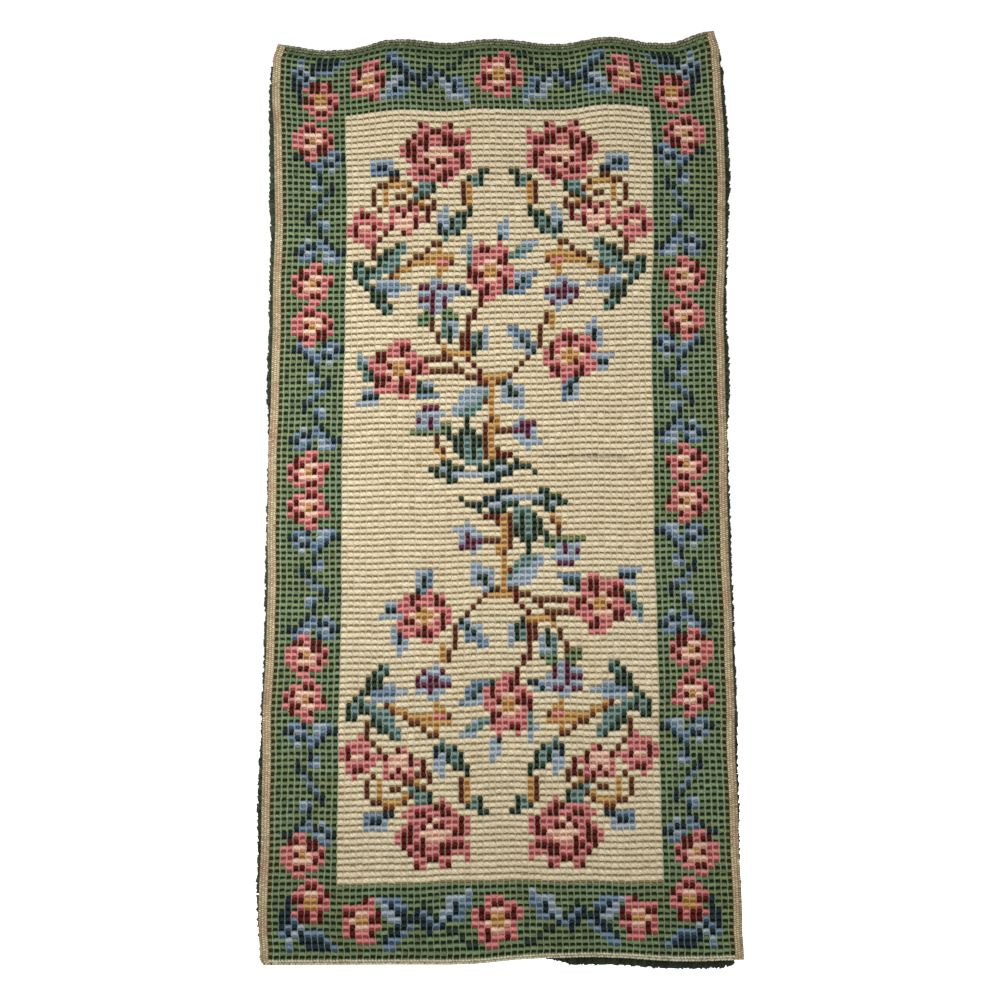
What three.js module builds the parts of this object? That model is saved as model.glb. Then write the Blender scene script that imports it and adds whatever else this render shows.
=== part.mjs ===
// Latch hook wall hanging, shown with its canvas side out: a rug canvas whose two ends are turned
// under, and the pile of cut yarn that is knotted into it and hangs between the canvas and the wall.
// Millimetres, +Z up. The origin is at the middle of the top edge, in the plane of the canvas face
// where the cloth hangs flat. +X is to the right of someone facing the canvas, and +Y runs towards
// the wall. Every piece is first laid out on the flat cloth, as (across, down, behind), and then
// hung by the same folds.

import * as THREE from "three";

// Rug canvas has ten holes in three inches. Hung, it has drawn in a little across.
const MESH = 76.2 / 10;
const COLUMN = 7.47;
const FIELD_COLUMNS = 51;
const BORDER_COLUMNS = 10;
const FIELD_ROWS = 125;
const BORDER_ROWS = 12;
const HEM_ROWS = 5;
const OPEN_EDGE = 5.9; // unhooked strip of mesh beside each selvedge
const SELVEDGE = 10;
const CANVAS = 2.0; // thickness of the canvas with the yarn loops on its threads
const HEM_GAP = 0.4; // air between the two layers of a hem
const PILE = 21; // length of the yarn ends once they have flopped over
const GAP = 0.3; // air between the areas of pile
const BACK_GAP = 0.5; // air between canvas and pile, a little more because the folds slant it

const FIELD_HALF = (FIELD_COLUMNS / 2) * COLUMN;
const HOOKED_HALF = FIELD_HALF + BORDER_COLUMNS * COLUMN;
const HALF_WIDTH = HOOKED_HALF + OPEN_EDGE + SELVEDGE;
const BORDER_DEPTH = BORDER_ROWS * MESH;
const LENGTH = (FIELD_ROWS + 2 * BORDER_ROWS) * MESH;
const HEM = HEM_ROWS * MESH;

// A hem turns round a half circle, at the middle of the canvas's thickness.
const TURN_RADIUS = (CANVAS + HEM_GAP) / 2;
const TURN_BEHIND = CANVAS / 2 + TURN_RADIUS;
const TURN_STEPS = 4;

// Folds that run down from the top edge. across: from the middle; halfWidth: to where the fold has
// gone; forward: away from the wall; lift: up; reach: down to where it has gone.
const TOP_FOLDS = [
  { across: -281, halfWidth: 50, forward: 9, lift: -4, reach: 110 },
  { across: -215, halfWidth: 85, forward: 0, lift: -8.5, reach: 220 },
  { across: -125, halfWidth: 64, forward: 10, lift: 0, reach: 290 },
  { across: 0, halfWidth: 64, forward: 10, lift: 0, reach: 290 },
  { across: 143, halfWidth: 66, forward: 11, lift: 3, reach: 290 },
  { across: 281, halfWidth: 56, forward: 22, lift: 5, reach: 150 },
];

// The same for the bottom edge, with reach upwards: its right half curls up and back.
const FOOT_FOLDS = [{ across: 105, halfWidth: 175, forward: -5, lift: 8, reach: 110 }];

// Old storage crease, pressed in from side to side: down: its height; halfHeight; depth;
// from and to: where it starts and ends across, run out over fade at each end.
const CREASE = { down: 530, halfHeight: 15, depth: 2.5, from: 15, to: 195, fade: 40 };

// How far each selvedge stands outside the straight line at each height.
const SIDES = [
  { down: 0, left: -1, right: -11 },
  { down: 22, left: 5, right: -4 },
  { down: 60, left: 6.5, right: -1 },
  { down: 120, left: 4, right: 2 },
  { down: 240, left: -0.5, right: 3 },
  { down: 350, left: 0.5, right: -1 },
  { down: 600, left: 1.5, right: -1 },
  { down: 750, left: -0.5, right: 1 },
  { down: 860, left: 2.5, right: 2.5 },
  { down: 1000, left: 1.5, right: 4 },
  { down: 1095, left: 2.5, right: 6.5 },
  { down: 1120, left: 0.5, right: 7.5 },
  { down: LENGTH, left: -7, right: 7.5 },
];

// Where the facets are cut, closer together where the cloth bends. Every piece is cut on these
// lines, so that neighbours bend alike and keep their gap.
const ACROSS_CUTS = [-245, -220, -160, -125, -95, -64, -32, 0, 32, 64, 104, 143, 168, 215, 232, 248];
const DOWN_CUTS = [
  12, 20, 29, 56, 67, 79, 105, 122, 142, 165, 190, 220, 255, 290, 345, 400, 460,
  515, 530, 545, 600, 660, 720, 780, 840, 900, 950, 1000, 1025, 1066, 1080, 1110, 1122,
];

// How the tips of the pile lie. Past the selvedges and the foot they show as an uneven edge.
const OVERHANG = 7;
const TIP_WAVES = [
  { length: 173, height: 1.6 },
  { length: 61, height: 1.1 },
];
const FOOT_PILE = { across: 178, halfWidth: 150, drop: 13 }; // tufts that hang below the lifted hem
const PILE_TOP = 3; // the pile starts this far below the turned edge
const PILE_FOOT = 2; // and ends this far above the foot where the hem hangs straight
const ROLL_OFF = 26; // width over which the pile thins towards an outer edge
const EDGE_PILE = 0.55; // share of its thickness left there

const clamp = THREE.MathUtils.clamp;

/** 1 in the middle of a fold, falling smoothly to 0 at its half width. */
const swell = (offset, halfWidth) =>
  0.5 * (1 + Math.cos(Math.PI * clamp(Math.abs(offset) / halfWidth, 0, 1)));

/** 1 at the edge a fold starts from, 0 past its reach. */
const fade = (distance, reach) => Math.pow(1 - clamp(distance / reach, 0, 1), 1.5);

/** Eased value of one column of a table at a height. */
function alongTable(rows, down, column) {
  const last = rows.length - 1;
  const next = clamp(rows.findIndex((row) => row.down > down), 1, last);
  const [a, b] = down >= rows[last].down ? [rows[last], rows[last]] : [rows[next - 1], rows[next]];
  const share = a === b ? 0 : clamp((down - a.down) / (b.down - a.down), 0, 1);
  return THREE.MathUtils.lerp(a[column], b[column], share * share * (3 - 2 * share));
}

/** Place in space of a point of the flat cloth: across, down from the top edge, and behind its face. */
function hang(across, down, behind) {
  let forward = 0;
  let lift = 0;
  for (const fold of TOP_FOLDS) {
    const share = swell(across - fold.across, fold.halfWidth) * fade(down, fold.reach);
    forward += fold.forward * share;
    lift += fold.lift * share;
  }
  for (const fold of FOOT_FOLDS) {
    const share = swell(across - fold.across, fold.halfWidth) * fade(LENGTH - down, fold.reach);
    forward += fold.forward * share;
    lift += fold.lift * share;
  }
  const inside = Math.min(across - CREASE.from, CREASE.to - across);
  forward -= CREASE.depth * swell(down - CREASE.down, CREASE.halfHeight)
    * clamp(inside / CREASE.fade, 0, 1);
  const rightShare = clamp(across / HALF_WIDTH, -1, 1) / 2 + 0.5;
  const shift = alongTable(SIDES, down, "right") * rightShare
    - alongTable(SIDES, down, "left") * (1 - rightShare);
  return new THREE.Vector3(across + shift, behind - forward, lift - down);
}

/** Sorted cuts from low to high, with the facet cuts that fall well inside them. */
function cutsBetween(low, high, cuts, extra = []) {
  const spare = 2;
  const inside = [...cuts, ...extra].filter((cut) => cut > low + spare && cut < high - spare);
  return [low, ...inside.sort((a, b) => a - b), high];
}

/**
 * A box cut into columns, rows and layers, each vertex moved by place(column, row, layer).
 * A box on its side has its facets halved along the other diagonal, so that its front bends
 * exactly as the back of an upright box before it does.
 */
function bentBox(columns, rows, layers, onItsSide, place) {
  const box = onItsSide
    ? new THREE.BoxGeometry(1, 1, 1, rows, columns, layers).rotateZ(-Math.PI / 2)
    : new THREE.BoxGeometry(1, 1, 1, columns, rows, layers);
  const position = box.attributes.position;
  for (let i = 0; i < position.count; i += 1) {
    const column = Math.round((position.getX(i) + 0.5) * columns);
    const row = Math.round((0.5 - position.getY(i)) * rows);
    const layer = Math.round((0.5 - position.getZ(i)) * layers);
    const { x, y, z } = place(column, row, layer);
    position.setXYZ(i, x, y, z);
  }
  box.computeVertexNormals();
  return box;
}

/** Stations along the canvas strip: up the top hem, over, down the face, round, up the foot hem. */
function canvasStations() {
  const turnDown = TURN_RADIUS + CANVAS / 2;
  const faceCuts = cutsBetween(turnDown, LENGTH - turnDown, DOWN_CUTS, [
    HEM + 1, HEM + MESH, BORDER_DEPTH, LENGTH - BORDER_DEPTH, LENGTH - HEM - MESH, LENGTH - HEM - 1,
  ]);
  const topHem = faceCuts.filter((cut) => cut > turnDown && cut < HEM - 2);
  const footHem = faceCuts.filter((cut) => cut > LENGTH - HEM + 2 && cut < LENGTH - turnDown);
  const turn = (start, middle) =>
    Array.from({ length: TURN_STEPS + 1 }, (_, i) => ({
      angle: start + (Math.PI * i) / TURN_STEPS,
      down: middle,
    }));
  return [
    ...[HEM, ...topHem.reverse()].map((down) => ({ angle: 0, down })),
    ...turn(0, turnDown),
    ...faceCuts.slice(1, -1).map((down) => ({ angle: Math.PI, down })),
    ...turn(Math.PI, LENGTH - turnDown),
    ...[...footHem.reverse(), LENGTH - HEM].map((down) => ({ angle: 2 * Math.PI, down })),
  ];
}

/** The canvas: one sheet from hem end to hem end, with both ends turned to the pile side. */
function canvasGeometry() {
  const across = cutsBetween(-HALF_WIDTH, HALF_WIDTH, ACROSS_CUTS, [
    -HOOKED_HALF, -FIELD_HALF, FIELD_HALF, HOOKED_HALF,
  ]);
  const stations = canvasStations();
  return bentBox(across.length - 1, stations.length - 1, 1, false, (column, row, layer) => {
    const { angle, down } = stations[row];
    const radius = TURN_RADIUS + (layer === 0 ? CANVAS / 2 : -CANVAS / 2);
    return hang(
      across[column],
      down - radius * Math.sin(angle),
      TURN_BEHIND + radius * Math.cos(angle),
    );
  });
}

/** Depth behind the canvas face at which the pile starts: past one layer, or past a hem's two. */
function pileFront(down) {
  const oneLayer = CANVAS + BACK_GAP;
  const hemLayers = 2 * CANVAS + HEM_GAP + BACK_GAP;
  const fromEnd = Math.min(down, LENGTH - down);
  const share = clamp((fromEnd - HEM - 1) / (MESH - 1), 0, 1);
  return THREE.MathUtils.lerp(hemLayers, oneLayer, share);
}

/** Depth of the pile's tips, thinner towards the outer edges of the cloth. */
function pileBack(across, down) {
  const fromEdge = Math.min(HALF_WIDTH - Math.abs(across), down, LENGTH - down);
  const share = clamp(fromEdge / ROLL_OFF, 0, 1);
  const rounded = Math.sin((share * Math.PI) / 2);
  return CANVAS + BACK_GAP + PILE * THREE.MathUtils.lerp(EDGE_PILE, 1, rounded);
}

/** Small unevenness of the tips along an edge. */
function tipWave(along) {
  const wave = ({ length, height }) => height * Math.sin((2 * Math.PI * along) / length);
  return TIP_WAVES.map(wave).reduce((sum, value) => sum + value, 0);
}

/** A closed slab of pile between two columns and two rows of the cloth. */
function pileGeometry(across, down) {
  const last = down.length - 1;
  const isFoot = down[last] > LENGTH - BORDER_DEPTH;
  const halfDepth = 1;
  return bentBox(across.length - 1, last, 2, true, (column, row, layer) => {
    let u = across[column];
    let v = down[row];
    const front = pileFront(v);
    const back = pileBack(u, v);
    if (Math.abs(u) > HALF_WIDTH) {
      const flare = layer === halfDepth ? 1 : 0.45;
      u = Math.sign(u) * (HALF_WIDTH + (OVERHANG + tipWave(v)) * flare);
    }
    if (isFoot && row === last) {
      const drop = FOOT_PILE.drop * swell(u - FOOT_PILE.across, FOOT_PILE.halfWidth);
      v += layer === 0 ? 0 : drop + 0.4 * tipWave(u);
    }
    return hang(u, v, THREE.MathUtils.lerp(front, back, layer / 2));
  });
}

const fullWidth = cutsBetween(-HALF_WIDTH - OVERHANG, HALF_WIDTH + OVERHANG, ACROSS_CUTS, [
  -HALF_WIDTH, -HOOKED_HALF, -FIELD_HALF, FIELD_HALF, HOOKED_HALF, HALF_WIDTH,
]);
const topRows = cutsBetween(PILE_TOP, BORDER_DEPTH - GAP / 2, DOWN_CUTS, [HEM + 1, HEM + MESH]);
const fieldRows = cutsBetween(BORDER_DEPTH + GAP / 2, LENGTH - BORDER_DEPTH - GAP / 2, DOWN_CUTS);
const footRows = cutsBetween(LENGTH - BORDER_DEPTH + GAP / 2, LENGTH - PILE_FOOT, DOWN_CUTS, [
  LENGTH - HEM - MESH, LENGTH - HEM - 1,
]);
const fieldColumns = cutsBetween(-FIELD_HALF + GAP / 2, FIELD_HALF - GAP / 2, ACROSS_CUTS);
const rightColumns = [FIELD_HALF + GAP / 2, ...fullWidth.filter((cut) => cut > FIELD_HALF + 1)];
const leftColumns = [...fullWidth.filter((cut) => cut < -FIELD_HALF - 1), -FIELD_HALF - GAP / 2];

const SPUN_YARN = { roughness: 0.95, metalness: 0 };
const PIECES = [
  { name: "canvas", geometry: canvasGeometry(), color: 0xd9c79c, finish: SPUN_YARN },
  { name: "pile_field", geometry: pileGeometry(fieldColumns, fieldRows), color: 0xe6d8b4, finish: SPUN_YARN },
  { name: "pile_border_top", geometry: pileGeometry(fullWidth, topRows), color: 0x5a6e4a, finish: SPUN_YARN },
  { name: "pile_border_foot", geometry: pileGeometry(fullWidth, footRows), color: 0x5a6e4a, finish: SPUN_YARN },
  { name: "pile_border_left", geometry: pileGeometry(leftColumns, fieldRows), color: 0x5a6e4a, finish: SPUN_YARN },
  { name: "pile_border_right", geometry: pileGeometry(rightColumns, fieldRows), color: 0x5a6e4a, finish: SPUN_YARN },
];

const hanging = new THREE.Group();
for (const { name, geometry, color, finish } of PIECES) {
  const mesh = new THREE.Mesh(geometry, new THREE.MeshStandardMaterial({ color, ...finish }));
  mesh.name = name;
  hanging.add(mesh);
}

export default hanging;
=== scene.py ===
"""Latch hook wall hanging: the looks of a hooked rug canvas that hangs with its canvas side out.

Metres, +Z up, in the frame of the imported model: the canvas side faces -Y, the pile is on the +Y side.
Sizes of the cloth are written in millimetres, as a maker states them, and become metres in Cloth.hang.
"""

import logging
import math
from collections.abc import Iterator
from dataclasses import dataclass, field
from enum import Enum

import bpy
import numpy as np
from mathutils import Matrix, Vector


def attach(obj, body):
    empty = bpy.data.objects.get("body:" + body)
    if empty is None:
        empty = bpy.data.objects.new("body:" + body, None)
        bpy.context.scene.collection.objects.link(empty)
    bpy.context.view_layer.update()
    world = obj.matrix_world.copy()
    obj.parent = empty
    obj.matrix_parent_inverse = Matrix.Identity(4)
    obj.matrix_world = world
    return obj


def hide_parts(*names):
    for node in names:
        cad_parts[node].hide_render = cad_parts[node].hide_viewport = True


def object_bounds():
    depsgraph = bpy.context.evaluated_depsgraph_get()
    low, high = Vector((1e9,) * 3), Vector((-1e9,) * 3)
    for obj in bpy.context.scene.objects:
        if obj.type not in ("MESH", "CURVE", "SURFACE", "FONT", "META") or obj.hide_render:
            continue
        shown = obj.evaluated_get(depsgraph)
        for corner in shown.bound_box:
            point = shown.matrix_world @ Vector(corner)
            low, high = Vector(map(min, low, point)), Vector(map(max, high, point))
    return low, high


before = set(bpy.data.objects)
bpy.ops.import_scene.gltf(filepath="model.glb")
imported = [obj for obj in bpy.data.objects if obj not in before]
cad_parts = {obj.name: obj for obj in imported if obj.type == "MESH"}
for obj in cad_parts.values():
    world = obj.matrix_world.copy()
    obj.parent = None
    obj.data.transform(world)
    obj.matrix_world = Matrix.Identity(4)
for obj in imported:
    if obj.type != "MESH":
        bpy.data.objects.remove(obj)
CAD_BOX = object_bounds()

LOG = logging.getLogger("wall_hanging")
MM = 0.001
SEED = 1104

# Columns and rows of knots, over the whole canvas.
COLUMNS = 71
ROWS = 149

# How fast a fold dies away: more than one makes it steep at the edge that it starts from.
FADE_POWER = 1.5

# Every strand's twist starts somewhere in this length, so that no two look the same. Millimetres.
TWIST_START = 50.0


# ---------------------------------------------------------------- how the cloth hangs


@dataclass(frozen=True)
class Fold:
    """A soft fold that runs in from the top or bottom edge. Millimetres."""

    across: float
    half_width: float
    forward: float
    lift: float
    reach: float


@dataclass(frozen=True)
class SideShift:
    """How far the selvedges stand outside their straight lines at one height. Millimetres."""

    down: float
    left: float
    right: float


@dataclass(frozen=True)
class Fringe:
    """How far the pile shows past each selvedge, at one distance down."""

    down: float
    left: float
    right: float


@dataclass(frozen=True)
class Stain:
    """A soiled spot: its place, how far it spreads and how much it darkens the yarn. Millimetres."""

    across: float
    down: float
    spread: float
    share: float


@dataclass(frozen=True)
class RowDrift:
    """How far the rows have crept up at one height, in millimetres.

    The middle value is for the whole row. The tilt is added at the right and taken off at the left,
    and the bow is added in the middle and taken off at both sides.
    """

    down: float
    middle: float
    tilt: float
    bow: float


@dataclass(frozen=True)
class Ripple:
    """One wave in the threads of the mesh: its height, its two lengths and where it starts."""

    height: float
    down: float
    across: float
    start: float = 0.0


@dataclass(frozen=True)
class Tug:
    """Where hooking has drawn the mesh to one side. Millimetres."""

    sideways: float
    down: float
    half_height: float
    across: float
    reach: float


def swell(offset: np.ndarray, half_width: float) -> np.ndarray:
    """One in the middle of a fold, falling smoothly to nothing at its half width."""
    return 0.5 * (1 + np.cos(np.pi * np.clip(np.abs(offset) / half_width, 0, 1)))


def fade(distance: np.ndarray, reach: float) -> np.ndarray:
    """One at the edge that a fold starts from, nothing past its reach."""
    return (1 - np.clip(distance / reach, 0, 1)) ** FADE_POWER


def rounded(distance: np.ndarray, radius: float) -> np.ndarray:
    """One at the edge, then along a quarter circle to nothing at the radius."""
    return 1 - np.sqrt(1 - (1 - np.clip(distance / radius, 0, 1)) ** 2)


@dataclass(frozen=True)
class Cloth:
    """The flat cloth's sizes in millimetres, and the folds that it hangs in."""

    row: float = 7.62
    column: float = 7.47
    field_columns: int = 51
    border_columns: int = 10
    border_rows: int = 12
    hem_rows: int = 5
    open_edge: float = 5.9
    selvedge: float = 10.0
    thickness: float = 2.0
    hem_gap: float = 0.4
    pile: float = 21.0
    back_gap: float = 0.5
    roll_off: float = 26.0
    edge_pile: float = 0.55
    top_folds: tuple[Fold, ...] = (
        Fold(-281, 50, 9, -4, 110),
        Fold(-215, 85, 0, -8.5, 220),
        Fold(-125, 64, 10, 0, 290),
        Fold(0, 64, 10, 0, 290),
        Fold(143, 66, 11, 3, 290),
        Fold(281, 56, 22, 5, 150),
        Fold(-200, 120, 0, -1.8, 40),
        Fold(105, 75, 0, -2, 40),
    )
    foot_folds: tuple[Fold, ...] = (
        Fold(105, 175, -5, 8, 110),
        Fold(300, 130, 0, 7, 90),
        Fold(-110, 230, 0, 1, 60),
        Fold(20, 60, 0, 1.2, 60),
    )
    crease_down: float = 531.3
    crease_half_height: float = 8.0
    crease_depth: float = 1.0
    # Painted shade: how dark and how narrow the crease's painted shadow line is; a higher power makes it
    # narrower.
    crease_shade: float = 0.6
    crease_sharpness: float = 16.0
    crease_from: float = 15.0
    crease_to: float = 195.0
    crease_fade: float = 40.0
    foot_pile: Fold = Fold(168, 156, 0, -13.3, 0)
    foot_pile_plateau: float = 2.3
    corner_turn: float = 8.0
    corner_width: float = 50.0
    corner_radius: float = 11.0
    fringes: tuple[Fringe, ...] = (
        Fringe(0, 4.2, 3.7),
        Fringe(40, 7.7, 8.2),
        Fringe(120, 9.7, 11.2),
        Fringe(170, 9.7, 12.7),
        Fringe(200, 11.7, 10.2),
        Fringe(250, 10.2, 7.7),
        Fringe(350, 8.7, 7.7),
        Fringe(440, 9.7, 10.2),
        Fringe(500, 5.7, 6.2),
        Fringe(600, 5.7, 7.2),
        Fringe(740, 7.7, 7.2),
        Fringe(860, 6.7, 7.7),
        Fringe(940, 9.5, 6.2),
        Fringe(1040, 8.2, 4.2),
        Fringe(1100, 5.2, 3.2),
        Fringe(1135.38, 4.2, 2.2),
    )
    worn_reach: float = 20.0
    sides: tuple[SideShift, ...] = (
        SideShift(0, -1, -11),
        SideShift(22, 5, -4),
        SideShift(60, 6.5, -1),
        SideShift(120, 4, 2),
        SideShift(240, -0.5, 3),
        SideShift(350, 0.5, -1),
        SideShift(600, 1.5, -1),
        SideShift(750, -0.5, 1),
        SideShift(860, 2.5, 2.5),
        SideShift(1000, 1.5, 4),
        SideShift(1095, 2.5, 6.5),
        SideShift(1120, 0.5, 7.5),
        SideShift(1135.38, 0.5, 7.5),
    )
    stains: tuple[Stain, ...] = (
        Stain(-129, 648, 6, 0.4),
        Stain(98, 1013, 16, 0.12),
        Stain(0, 165, 40, 0.07),
    )
    drifts: tuple[RowDrift, ...] = (
        RowDrift(0, 0, 0, 0),
        RowDrift(90, 1.7, 3.6, 0),
        RowDrift(155, 1.4, 4.2, 0),
        RowDrift(215, 0.4, 4.3, 0),
        RowDrift(360, -1.6, 5.2, 0),
        RowDrift(520, -1.0, 5.2, 0),
        RowDrift(600, -0.4, 4.4, 0.2),
        RowDrift(680, 1.9, 3.8, 0.6),
        RowDrift(740, 3.0, 3.6, 1.0),
        RowDrift(860, 3.4, 3.3, 1.2),
        RowDrift(930, 2.9, 2.9, 1.5),
        RowDrift(1010, 3.2, 2.1, 1.5),
        RowDrift(1080, 3.2, 0.8, 1.4),
        RowDrift(1135.38, 0, 0, 0),
    )
    tilt_reach: float = 200.0
    bow_reach: float = 220.0
    sideways_ripples: tuple[Ripple, ...] = (Ripple(0.45, 41, 150), Ripple(0.3, 17, -60, 1))
    downward_ripples: tuple[Ripple, ...] = (Ripple(0.5, 210, 37), Ripple(0.4, -90, 13, 2))
    upper_tug: Tug = Tug(2.4, 150, 90, -60, 140)
    lower_tug: Tug = Tug(-1.2, 745, 130, 40, 260)
    taut_end: float = 30.0

    @property
    def hooked_half(self) -> float:
        """Half the width of the hooked area."""
        return (self.field_columns / 2 + self.border_columns) * self.column

    @property
    def half_width(self) -> float:
        """Half the width over the selvedges."""
        return self.hooked_half + self.open_edge + self.selvedge

    @property
    def length(self) -> float:
        """Length from fold to fold."""
        return ROWS * self.row

    @property
    def hem(self) -> float:
        """Depth of the turned ends."""
        return self.hem_rows * self.row

    def column_middle(self, column: np.ndarray) -> np.ndarray:
        """Distance across of the middle of a column of knots."""
        return (column + 0.5) * self.column - self.hooked_half

    @staticmethod
    def eased(
        table: tuple[SideShift | Fringe | RowDrift, ...], value: str, down: np.ndarray
    ) -> np.ndarray:
        """A table's value at each height, eased between its rows.

        Args:
            table: rows that state a value at a distance down.
            value: name of the value.
            down: distance below the top edge.

        Returns:
            The value, in millimetres.
        """
        stations = np.array([row.down for row in table])
        values = np.array([getattr(row, value) for row in table])
        held = np.clip(down, stations[0], stations[-1])
        after = np.clip(np.searchsorted(stations, held, side="right"), 1, len(stations) - 1)
        share = (held - stations[after - 1]) / (stations[after] - stations[after - 1])
        smooth = share * share * (3 - 2 * share)
        return values[after - 1] + (values[after] - values[after - 1]) * smooth

    def hang(self, across: np.ndarray, down: np.ndarray, behind: np.ndarray) -> np.ndarray:
        """Place in space of points of the flat cloth.

        Args:
            across: distance to the right of the middle.
            down: distance below the top edge.
            behind: distance behind the canvas face, towards the wall.

        Returns:
            The points in metres, with a last axis of x, y and z.
        """
        forward = np.zeros(np.broadcast(across, down, behind).shape)
        lift = np.zeros_like(forward)
        for folds, distance in ((self.top_folds, down), (self.foot_folds, self.length - down)):
            for fold in folds:
                share = swell(across - fold.across, fold.half_width) * fade(distance, fold.reach)
                forward = forward + fold.forward * share
                lift = lift + fold.lift * share
        forward = forward - self.crease_depth * self.creased(across, down)
        right_share = np.clip(across / self.half_width, -1, 1) / 2 + 0.5
        shift = (
            self.eased(self.sides, "right", down) * right_share
            - self.eased(self.sides, "left", down) * (1 - right_share)
        )
        at_corner = np.clip((-across - self.half_width + self.corner_width) / self.corner_width, 0, 1)
        shift = shift + self.corner_turn * at_corner * rounded(self.length - down, self.corner_radius)
        return np.stack([across + shift, behind - forward, lift - down], axis=-1) * MM

    def creased(self, across: np.ndarray, down: np.ndarray) -> np.ndarray:
        """How far a place is pressed into the storage crease, from none at zero to the bottom at one."""
        inside = np.minimum(across - self.crease_from, self.crease_to - across)
        pressed = swell(down - self.crease_down, self.crease_half_height)
        return pressed * np.clip(inside / self.crease_fade, 0, 1)

    def pull(self, across: np.ndarray, down: np.ndarray) -> tuple[np.ndarray, np.ndarray]:
        """Unevenness of the mesh within the cloth, where hooking has pulled its threads about.

        Args:
            across: distance to the right of the middle.
            down: distance below the top edge.

        Returns:
            The two distances after the pull.
        """
        upper, lower = self.upper_tug, self.lower_tug
        sideways = self.rippled(self.sideways_ripples, across, down)
        to_right = np.clip((across - upper.across) / upper.reach, 0, 1)
        sideways = sideways + upper.sideways * swell(down - upper.down, upper.half_height) * to_right
        nearby = swell(across - lower.across, lower.reach)
        sideways = sideways + lower.sideways * swell(down - lower.down, lower.half_height) * nearby
        slack = np.clip(np.minimum(down, self.length - down) / self.taut_end, 0, 1)
        downwards = self.rippled(self.downward_ripples, across, down)
        crept = self.eased(self.drifts, "middle", down)
        crept = crept + self.eased(self.drifts, "tilt", down) * np.clip(across / self.tilt_reach, -1, 1)
        crept = crept + self.eased(self.drifts, "bow", down) * (2 * swell(across, self.bow_reach) - 1)
        return across + sideways * slack, down + downwards * slack - crept

    @staticmethod
    def rippled(ripples: tuple[Ripple, ...], across: np.ndarray, down: np.ndarray) -> np.ndarray:
        """Sum of some ripples at each place."""
        return sum(r.height * np.sin(down / r.down + across / r.across + r.start) for r in ripples)

    def wear(self, down: np.ndarray) -> np.ndarray:
        """How worn the yarn is, from none at zero to most at one, along the two folded ends."""
        return fade(np.minimum(down, self.length - down), self.worn_reach)

    def soil(self, across: np.ndarray, down: np.ndarray) -> np.ndarray:
        """Share of the colour left at each place by the stains, and by the painted shadow line along the
        storage crease.
        """
        # Painted shadow: a narrow dark line along the bottom of the storage crease.
        unstained_unshaded = 1 - self.crease_shade * self.creased(across, down) ** self.crease_sharpness
        for stain in self.stains:
            away = np.hypot(across - stain.across, down - stain.down)
            unstained_unshaded = unstained_unshaded * (1 - stain.share * swell(away, stain.spread))
        return unstained_unshaded

    def pile_back(self, across: np.ndarray, down: np.ndarray) -> np.ndarray:
        """Depth of the pile's tips behind the canvas face, thinner towards the outer edges."""
        from_edge = np.minimum(self.half_width - np.abs(across), np.minimum(down, self.length - down))
        fullness = np.sin(np.clip(from_edge / self.roll_off, 0, 1) * np.pi / 2)
        share = self.edge_pile + (1 - self.edge_pile) * fullness
        return self.thickness + self.back_gap + self.pile * share


# ---------------------------------------------------------------- yarns, canvas and their finishes


def linear(colour: str) -> tuple[float, float, float, float]:
    """Linear colour of an sRGB hex value."""
    parts = [int(colour[i : i + 2], 16) / 255 for i in (1, 3, 5)]
    lit = [p / 12.92 if p <= 0.04045 else ((p + 0.055) / 1.055) ** 2.4 for p in parts]
    return (lit[0], lit[1], lit[2], 1.0)


def add_node(tree: bpy.types.NodeTree, kind: str, values: dict) -> bpy.types.Node:
    """Add one node.

    Args:
        tree: the node tree that it goes in.
        kind: its type, as Blender names it.
        values: its own properties by name, and its inputs by socket name or number, each a number,
            a colour or the output socket to join to it.

    Returns:
        The node.
    """
    made = tree.nodes.new(kind)
    for name, value in values.items():
        if isinstance(value, bpy.types.NodeSocket):
            tree.links.new(value, made.inputs[name])
        elif isinstance(name, str) and hasattr(made, name):
            setattr(made, name, value)
        else:
            made.inputs[name].default_value = value
    return made


def empty_material(name: str) -> bpy.types.Material:
    """A material without nodes, ready for its own."""
    made = bpy.data.materials.new(name)
    made.use_nodes = True
    made.node_tree.nodes.clear()
    return made


# The sockets of a Mix node that mixes colours.
MIX_SHARE, MIX_FIRST, MIX_SECOND, MIX_RESULT = 0, 6, 7, 2

# A wave texture repeats once for each 2 pi / 20 of its scaled coordinate.
WAVE_CYCLE = 2 * math.pi / 20


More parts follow.
